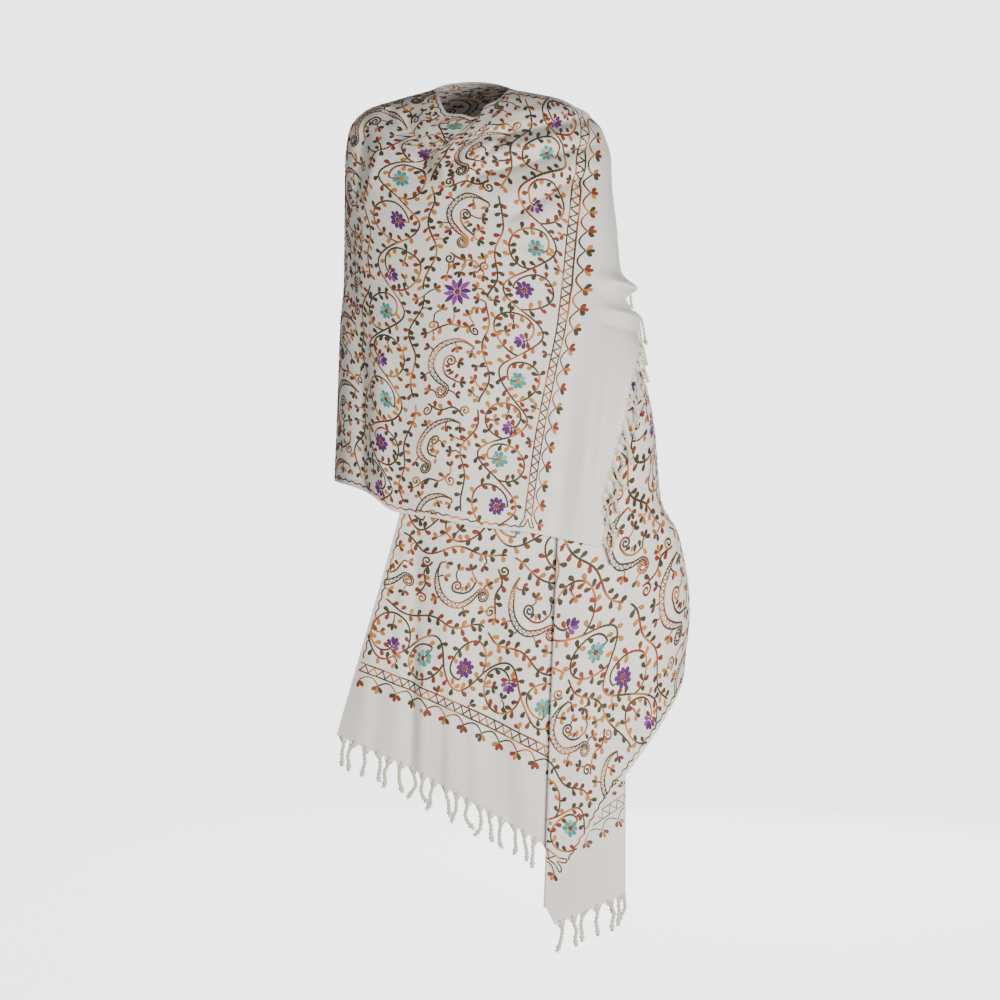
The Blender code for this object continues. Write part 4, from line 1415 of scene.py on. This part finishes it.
def tassel(middle_line, normal, turn, thick, pile):
    """A two-ply cord, its knot, and the loose ends below it."""
    path = soft_path(middle_line, RINGS)
    run = lengths(path)
    aside, facing = frame_along(path, normal)
    angle = 2 * math.pi * run / PLY_PITCH + turn
    apart = (thick * PLY * 0.78 * (1 + 0.5 * np.exp(-run / 0.004)))[:, None]
    for ply in range(2):
        centre = path + around(aside, facing, angle + math.pi * ply) * apart
        radius = thick * PLY * np.linspace(0.74, 1.06, CORD_RINGS + 1)
        tube(centre[: CORD_RINGS + 1], radius, 6, normal, pile)
    share = np.linspace(0, 1, 11)
    cord_end, start, tip = path[CORD_RINGS], path[CORD_RINGS + 4], path[-1]
    knot_from, knot_to = cord_end - (cord_end - path[CORD_RINGS - 3]) * 0.3, path[CORD_RINGS + 5]
    swell = np.sqrt(np.clip(1 - (2 * share - 1) ** 2, 0.03, 1))
    size = thick * KNOT * (1 + 0.12 * math.sin(3.1 * turn)) * swell
    tube(knot_from + (knot_to - knot_from) * share[:, None], size, 9, normal, pile)
    for k in range(ENDS):
        at = 2 * math.pi * k / ENDS + turn
        away = (aside[CORD_RINGS] * math.cos(at) + facing[CORD_RINGS] * math.sin(at)) * END_SPREAD
        end = tip + away * (1 + 0.3 * math.sin(5 * k + turn))
        end = end + (tip - path[-5]) * 0.35 * math.sin(2 * k + turn)
        strand = soft_path([start, (start + end) / 2 + away * 0.55, end], 6)
        tube(strand, np.linspace(0.0011, 0.0007, 6), 4, normal, pile)


def gathered(edge_places, start, normal, pile):
    """Warp yarns that run together from the cloth's edge into a tassel."""
    pull = (start - edge_places[len(edge_places) // 2]) * 0.12
    for place in edge_places:
        tube(soft_path([place, (place + start) / 2 + pull, start], 6), WARP, 4, normal, pile)


def fringe(stretch, edge, inner, normals, hang, thick, ends, material):
    """The tassels of an edge. `hang` is their droop and lean, and `ends` the steps left at its two ends."""
    run = lengths(edge)
    count = int(round(run[-1] / TASSEL_STEP - sum(ends))) + 1
    roots = (np.linspace(ends[0], ends[0] + count - 1, count)) / (count - 1 + sum(ends)) * run[-1]
    pile = Pile()
    places = (along_row(run, line, roots) for line in (edge, edge - inner, normals))
    for turn, (place, out, normal) in enumerate(zip(*places)):
        out, normal = out / np.linalg.norm(out), normal / np.linalg.norm(normal)
        middle_height = normal * (WALL - THICKNESS / 2)
        middle_line = tassel_path(place + middle_height, out, normal, turn, *hang)
        tassel(middle_line, normal, turn, thick, pile)
        spots = np.clip(roots[turn] + WARP_SPOTS, 0.0005, run[-1] - 0.0005)
        gathered(along_row(run, edge, spots) + middle_height - out * 0.002, middle_line[2], normal, pile)
    points, faces, _ = pile.split(0)
    piece = new_object("tassels_" + stretch, points, faces, material)
    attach(piece, "root")
    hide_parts(stretch + "_fringe")
    return piece


# ---------------------------------------------------------------- stitches on the drape
SUNK = 0.0001  # of a ridge's edges under the face, so that no light shows below them
LEAF_SUNK = 0.00005
LEAF_HEIGHT = 0.0011
RIBBON_SPAN, LEAF_SPAN = 0.009, 0.022  # the longest side that a face of each may have


def ribbons(drape, vines, reverse, pile):
    """Each line as a low ridge of stitches, or as a flatter one on the reverse of the cloth, with painted
    shade on its sides and between its links.
    """
    flats, lifts, tints_with_painted_shade, faces, spans, first = [], [], [], [], [], 0
    for line, width, _, tint in vines:
        narrow = (np.arange(len(line)) % 2)[:, None]
        aside = left_of(tangents(line)) * (width / 2 * (1 - 0.16 * narrow) * (0.8 if reverse else 1))
        flats.append(np.stack([line - aside, line, line + aside], axis=1).reshape(-1, 2))
        crest = (REVERSE_HEIGHT if reverse else FACE_HEIGHT) * (1 - 0.30 * narrow)
        lifts.append(np.column_stack([-SUNK + 0 * crest, crest, -SUNK + 0 * crest]).ravel())
        shade = np.repeat(tint[:, None], 3, axis=1)
        # Painted shade: the two sides of each ridge are darkened, and its narrow points between the chain's
        # links a little more.
        shade[:, (0, 2)] *= 0.80
        tints_with_painted_shade.append((shade * (1 - 0.12 * narrow[:, None])).reshape(-1, 3))
        at = first + 3 * np.arange(len(line) - 1)
        for k in (0, 1):
            ring = (at + k, at + k + 1, at + k + 4, at + k + 3)
            ring = ring[::-1] if reverse else ring
            faces += [np.column_stack([ring[i] for i in corners]) for corners in ((0, 1, 2), (0, 2, 3))]
            spans.append(np.tile(at + 1, 2))
        first += 3 * len(line)
    put_on(drape, (flats, lifts, tints_with_painted_shade, faces, spans), reverse, pile, RIBBON_SPAN)


def put_on(drape, lists, reverse, pile, most):
    """Carries flat shapes onto the drape. A face whose corners are on two of its folds is left out."""
    flat, lift, colours, faces, spans = (np.concatenate(values) for values in lists)
    points, stretch = drape.at(flat, (WALL - THICKNESS) - lift if reverse else WALL + lift)
    if reverse:
        colours = colours * 0.88 + 0.035
    kept = np.linalg.norm(points[faces] - points[np.roll(faces, 1, axis=1)], axis=2).max(axis=1) < most
    pile.add(points, colours, faces[kept], stretch[spans[kept]])


def drop(*half):
    """The outline of a drop, from the points of its left side."""
    return np.array([(0, 0), *half, (1.0, 0), *[(along_it, -aside) for along_it, aside in half[::-1]]])


OUTLINE = drop((0.25, 0.26), (0.58, 0.48), (0.86, 0.40))
POINTED = drop((0.22, 0.26), (0.50, 0.48), (0.78, 0.30))


def blobs(drape, leaves, knots, reverse, pile):
    """Leaves and petals as domed drops, and rounds as domed discs, with painted shade round their rims."""
    count = len(OUTLINE)
    fan = np.array([(count, k, (k + 1) % count) for k in range(count)])
    fan = fan if reverse else fan[:, ::-1]
    turn = np.linspace(0, 2 * math.pi, count, endpoint=False)
    ring = np.column_stack([0.5 * np.cos(turn), 0.5 * np.sin(turn)])
    shapes = [(leaf, POINTED if leaf[-1] else OUTLINE, 0.60) for leaf in leaves]
    shapes += [((s, t, 0.0, 2 * r, 2 * r, colour, False), ring, 0.0) for s, t, r, colour in knots]
    flats, lifts, tints_with_painted_shade, faces, spans = [], [], [], [], []
    for k, ((s, t, angle, long, wide, colour, _), outline, middle) in enumerate(shapes):
        way = unit(angle)
        local = np.concatenate([outline, [(middle, 0)]])
        flats.append((s, t) + local[:, :1] * long * way + local[:, 1:] * wide * left_of(way))
        lifts.append(np.append(np.full(count, -LEAF_SUNK), REVERSE_HEIGHT if reverse else LEAF_HEIGHT))
        shade = np.tile(THREADS[colour] * (0.86 + 0.28 * ((k * 7919) % 101) / 100), (count + 1, 1))
        # Painted shade: the rim of each leaf, petal and round is darker than its domed middle.
        shade[:-1] *= 0.82
        tints_with_painted_shade.append(shade)
        faces.append(fan + k * (count + 1))
        spans.append(np.full(count, k * (count + 1) + count))
    put_on(drape, (flats, lifts, tints_with_painted_shade, faces, spans), reverse, pile, LEAF_SPAN)


# ---------------------------------------------------------------- the scene
FLOOR = -1.60
ROOM = 40.0  # from the middle of the floor to the backdrop


def placed_object(name, data, location, rotation):
    piece = bpy.data.objects.new(name, data)
    piece.location, piece.rotation_euler = location, rotation
    bpy.context.scene.collection.objects.link(piece)
    return piece


def area_light(name, place, aim, size, power, colour):
    light = bpy.data.lights.new(name, "AREA")
    light.shape, light.size, light.size_y = "RECTANGLE", *size
    light.energy, light.color = power, colour
    way = mathutils.Vector(aim) - mathutils.Vector(place)
    placed_object(name, light, place, way.to_track_quat("-Z", "Y").to_euler()).visible_camera = False


def backdrop(name, points, faces, glow):
    """A pale studio surface, lit for the camera alone, so that it throws no light back onto the cloth."""
    material, tree = new_material(name)
    mottle = noise(tree, node(tree, "TexCoord", "Object", {}), 0.8)
    colour = ramp(tree, mottle, (0.3, (0.29, 0.29, 0.285)), (0.7, (0.32, 0.32, 0.32)))
    finished(tree, colour, 0.9, Emission_Color=(*WHITE, 1), Emission_Strength=glow)
    piece = new_object(name, points, faces, material)
    for kind in ("diffuse", "glossy", "transmission", "volume_scatter", "shadow"):
        setattr(piece, "visible_" + kind, False)


def build_backdrops():
    size = ROOM + 5
    corners = [(x, y, FLOOR) for x, y in ((-size, -size), (size, -size), (size, size), (-size, size))]
    backdrop("floor", corners, [(0, 1, 2, 3)], 3.2)
    rise = np.linspace(0, math.pi / 2, 25)[:, None]
    turn = np.linspace(0, 2 * math.pi, 97)[None, :]
    level = np.cos(rise)
    dome = np.stack([level * np.cos(turn), level * np.sin(turn), np.sin(rise) + 0 * turn], axis=-1)
    faces = quads_of(np.arange(rise.size * turn.size).reshape(rise.size, turn.size))[:, (0, 3, 2, 1)]
    backdrop("dome", (dome * ROOM + (0, 0, FLOOR)).reshape(-1, 3), faces, 3.25)


def build_light():
    """An even world, brighter below, and three soft lights."""
    world = bpy.data.worlds.new("studio")
    world.use_nodes = True
    tree = world.node_tree
    way = node(tree, "TexCoord", "Generated", {})
    height = node(tree, "SeparateXYZ", "Z", {"Vector": way})
    limits = {"From Min": -1, "From Max": 1, "To Min": 0.44, "To Max": 0.06}
    strength = node(tree, "MapRange", "Result", limits | {"Value": height})
    background = tree.nodes["Background"]
    background.inputs["Color"].default_value = (*WHITE, 1)
    tree.links.new(strength, background.inputs["Strength"])
    bpy.context.scene.world = world
    warm = (1.0, 0.975, 0.94)
    area_light("key", (0.95, -1.75, -0.80), (0.04, 0.0, -0.62), (0.7, 0.7), 62, warm)
    area_light("fill", (-2.6, -1.6, -0.7), (0.0, 0.0, -0.66), (1.6, 1.8), 22, warm)
    area_light("rear", (0.9, 2.9, -0.2), (0.0, 0.0, -0.6), (1.4, 1.4), 130, warm)


def build_stage():
    camera = bpy.data.cameras.new("camera")
    camera.lens, camera.sensor_width = 72, 36
    place = (VIEW_X, -VIEW_DISTANCE, VIEW_Z)
    bpy.context.scene.camera = placed_object("camera", camera, place, (math.pi / 2, 0, 0))
    build_backdrops()
    build_light()


def flat_size(flat):
    """Width, length and area of a stretch of the flat cloth, measured along its own long direction."""
    points = flat.reshape(-1, 2) - flat.reshape(-1, 2).mean(axis=0)
    points = points @ np.linalg.svd(points.T @ points)[0]
    spans = np.sort(points.max(axis=0) - points.min(axis=0))
    a, c = flat[1:, 1:] - flat[:-1, :-1], flat[1:, :-1] - flat[:-1, 1:]
    area = 0.5 * np.abs(a[..., 0] * c[..., 1] - a[..., 1] * c[..., 0]).sum()
    return float(spans[0]), float(spans[1]), float(area)


def wrap_flat(drape):
    s = CLOTH_WIDTH * np.linspace(0, 1, ROWS + 1)[:, None]
    column = np.arange(drape.wrap.shape[1])[None, :]
    back = (1 - column / BACK_CELLS) * drape.turn_at(s)
    front = (BACK_CELLS - column) / FRONT_CELLS * FRONT_SPAN
    end = -FRONT_SPAN - (column - BACK_CELLS - FRONT_CELLS) / END_CELLS * FRONT_PLAIN_END
    t = np.where(column < BACK_CELLS, back, np.where(column < BACK_CELLS + FRONT_CELLS, front, end))
    return np.stack([s + 0 * t, t], axis=-1)


def build_cloth(drape):
    light, dark = (0.820, 0.790, 0.730), (0.770, 0.735, 0.665)
    embroidered, plain = (wool_material(name, light, dark) for name in ("embroidered_wool", "plain_wool"))
    wrap = (drape.wrap, drape.wrap_normals, wrap_flat(drape))
    fall = (drape.fall, drape.fall_normals, drape.fall_flat)
    border = BACK_CELLS + FRONT_CELLS
    cuts = [(wrap, 0, BACK_CELLS), (wrap, BACK_CELLS, border), (wrap, border, None)]
    cuts += [(fall, 0, INNER_FOLD), (fall, INNER_FOLD, OUTER_FOLD), (fall, OUTER_FOLD, None)]
    pieces = {}
    for name, (grids, start, stop) in zip(STRETCHES, cuts):
        grid, normals, flat = (values[:, start : stop and stop + 1] for values in grids)
        piece = shell(name, grid, normals, flat, plain if name == "front_end" else embroidered)
        pieces[name] = (piece, flat_size(flat))
    return pieces


def build_fringes(drape):
    """The front end's, that turns round the arm, and those of the fallen end, that hang."""
    material = yarn_material()
    wrap, fall = drape.wrap, drape.fall
    lines = (wrap[:, -1], wrap[:, -2], drape.wrap_normals[:, -1])
    made = {"front_end": fringe("front_end", *lines, (1.1, 0.12), 0.72, (0.6, 0.8), material)}
    for stretch, start, stop in (("fall_panel", 0, INNER_FOLD + 1), ("fall_return", INNER_FOLD, CORNER + 1)):
        lines = (line[start:stop] for line in (fall[-1], fall[-2], drape.fall_normals[-1]))
        made[stretch] = fringe(stretch, *lines, (0.45, -0.12), 1.0, (0.5, 0.5), material)
    return made


def build_stitches(drape):
    layout = Embroidery(drape.end)
    layout.lay_out()
    material = thread_material()
    made = {name: [] for name in STRETCHES}
    for reverse in (False, True):
        pile = Pile()
        ribbons(drape, layout.vines, reverse, pile)
        blobs(drape, layout.leaves, layout.knots, reverse, pile)
        for label, stretch in enumerate(STRETCHES):
            if not (np.concatenate(pile.labels) == label).any() or (reverse and stretch == "front_end"):
                continue
            points, faces, colours = pile.split(label)
            piece = new_object(("reverse_" if reverse else "stitches_") + stretch, points, faces, material)
            attribute(piece, "thread", "FLOAT_COLOR", colours)
            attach(piece, "root")
            made[stretch].append(piece)
    return made


def main():
    build_stage()
    drape = Drape()
    cloths = build_cloth(drape)
    tassels = build_fringes(drape)
    stitches = build_stitches(drape)


main()
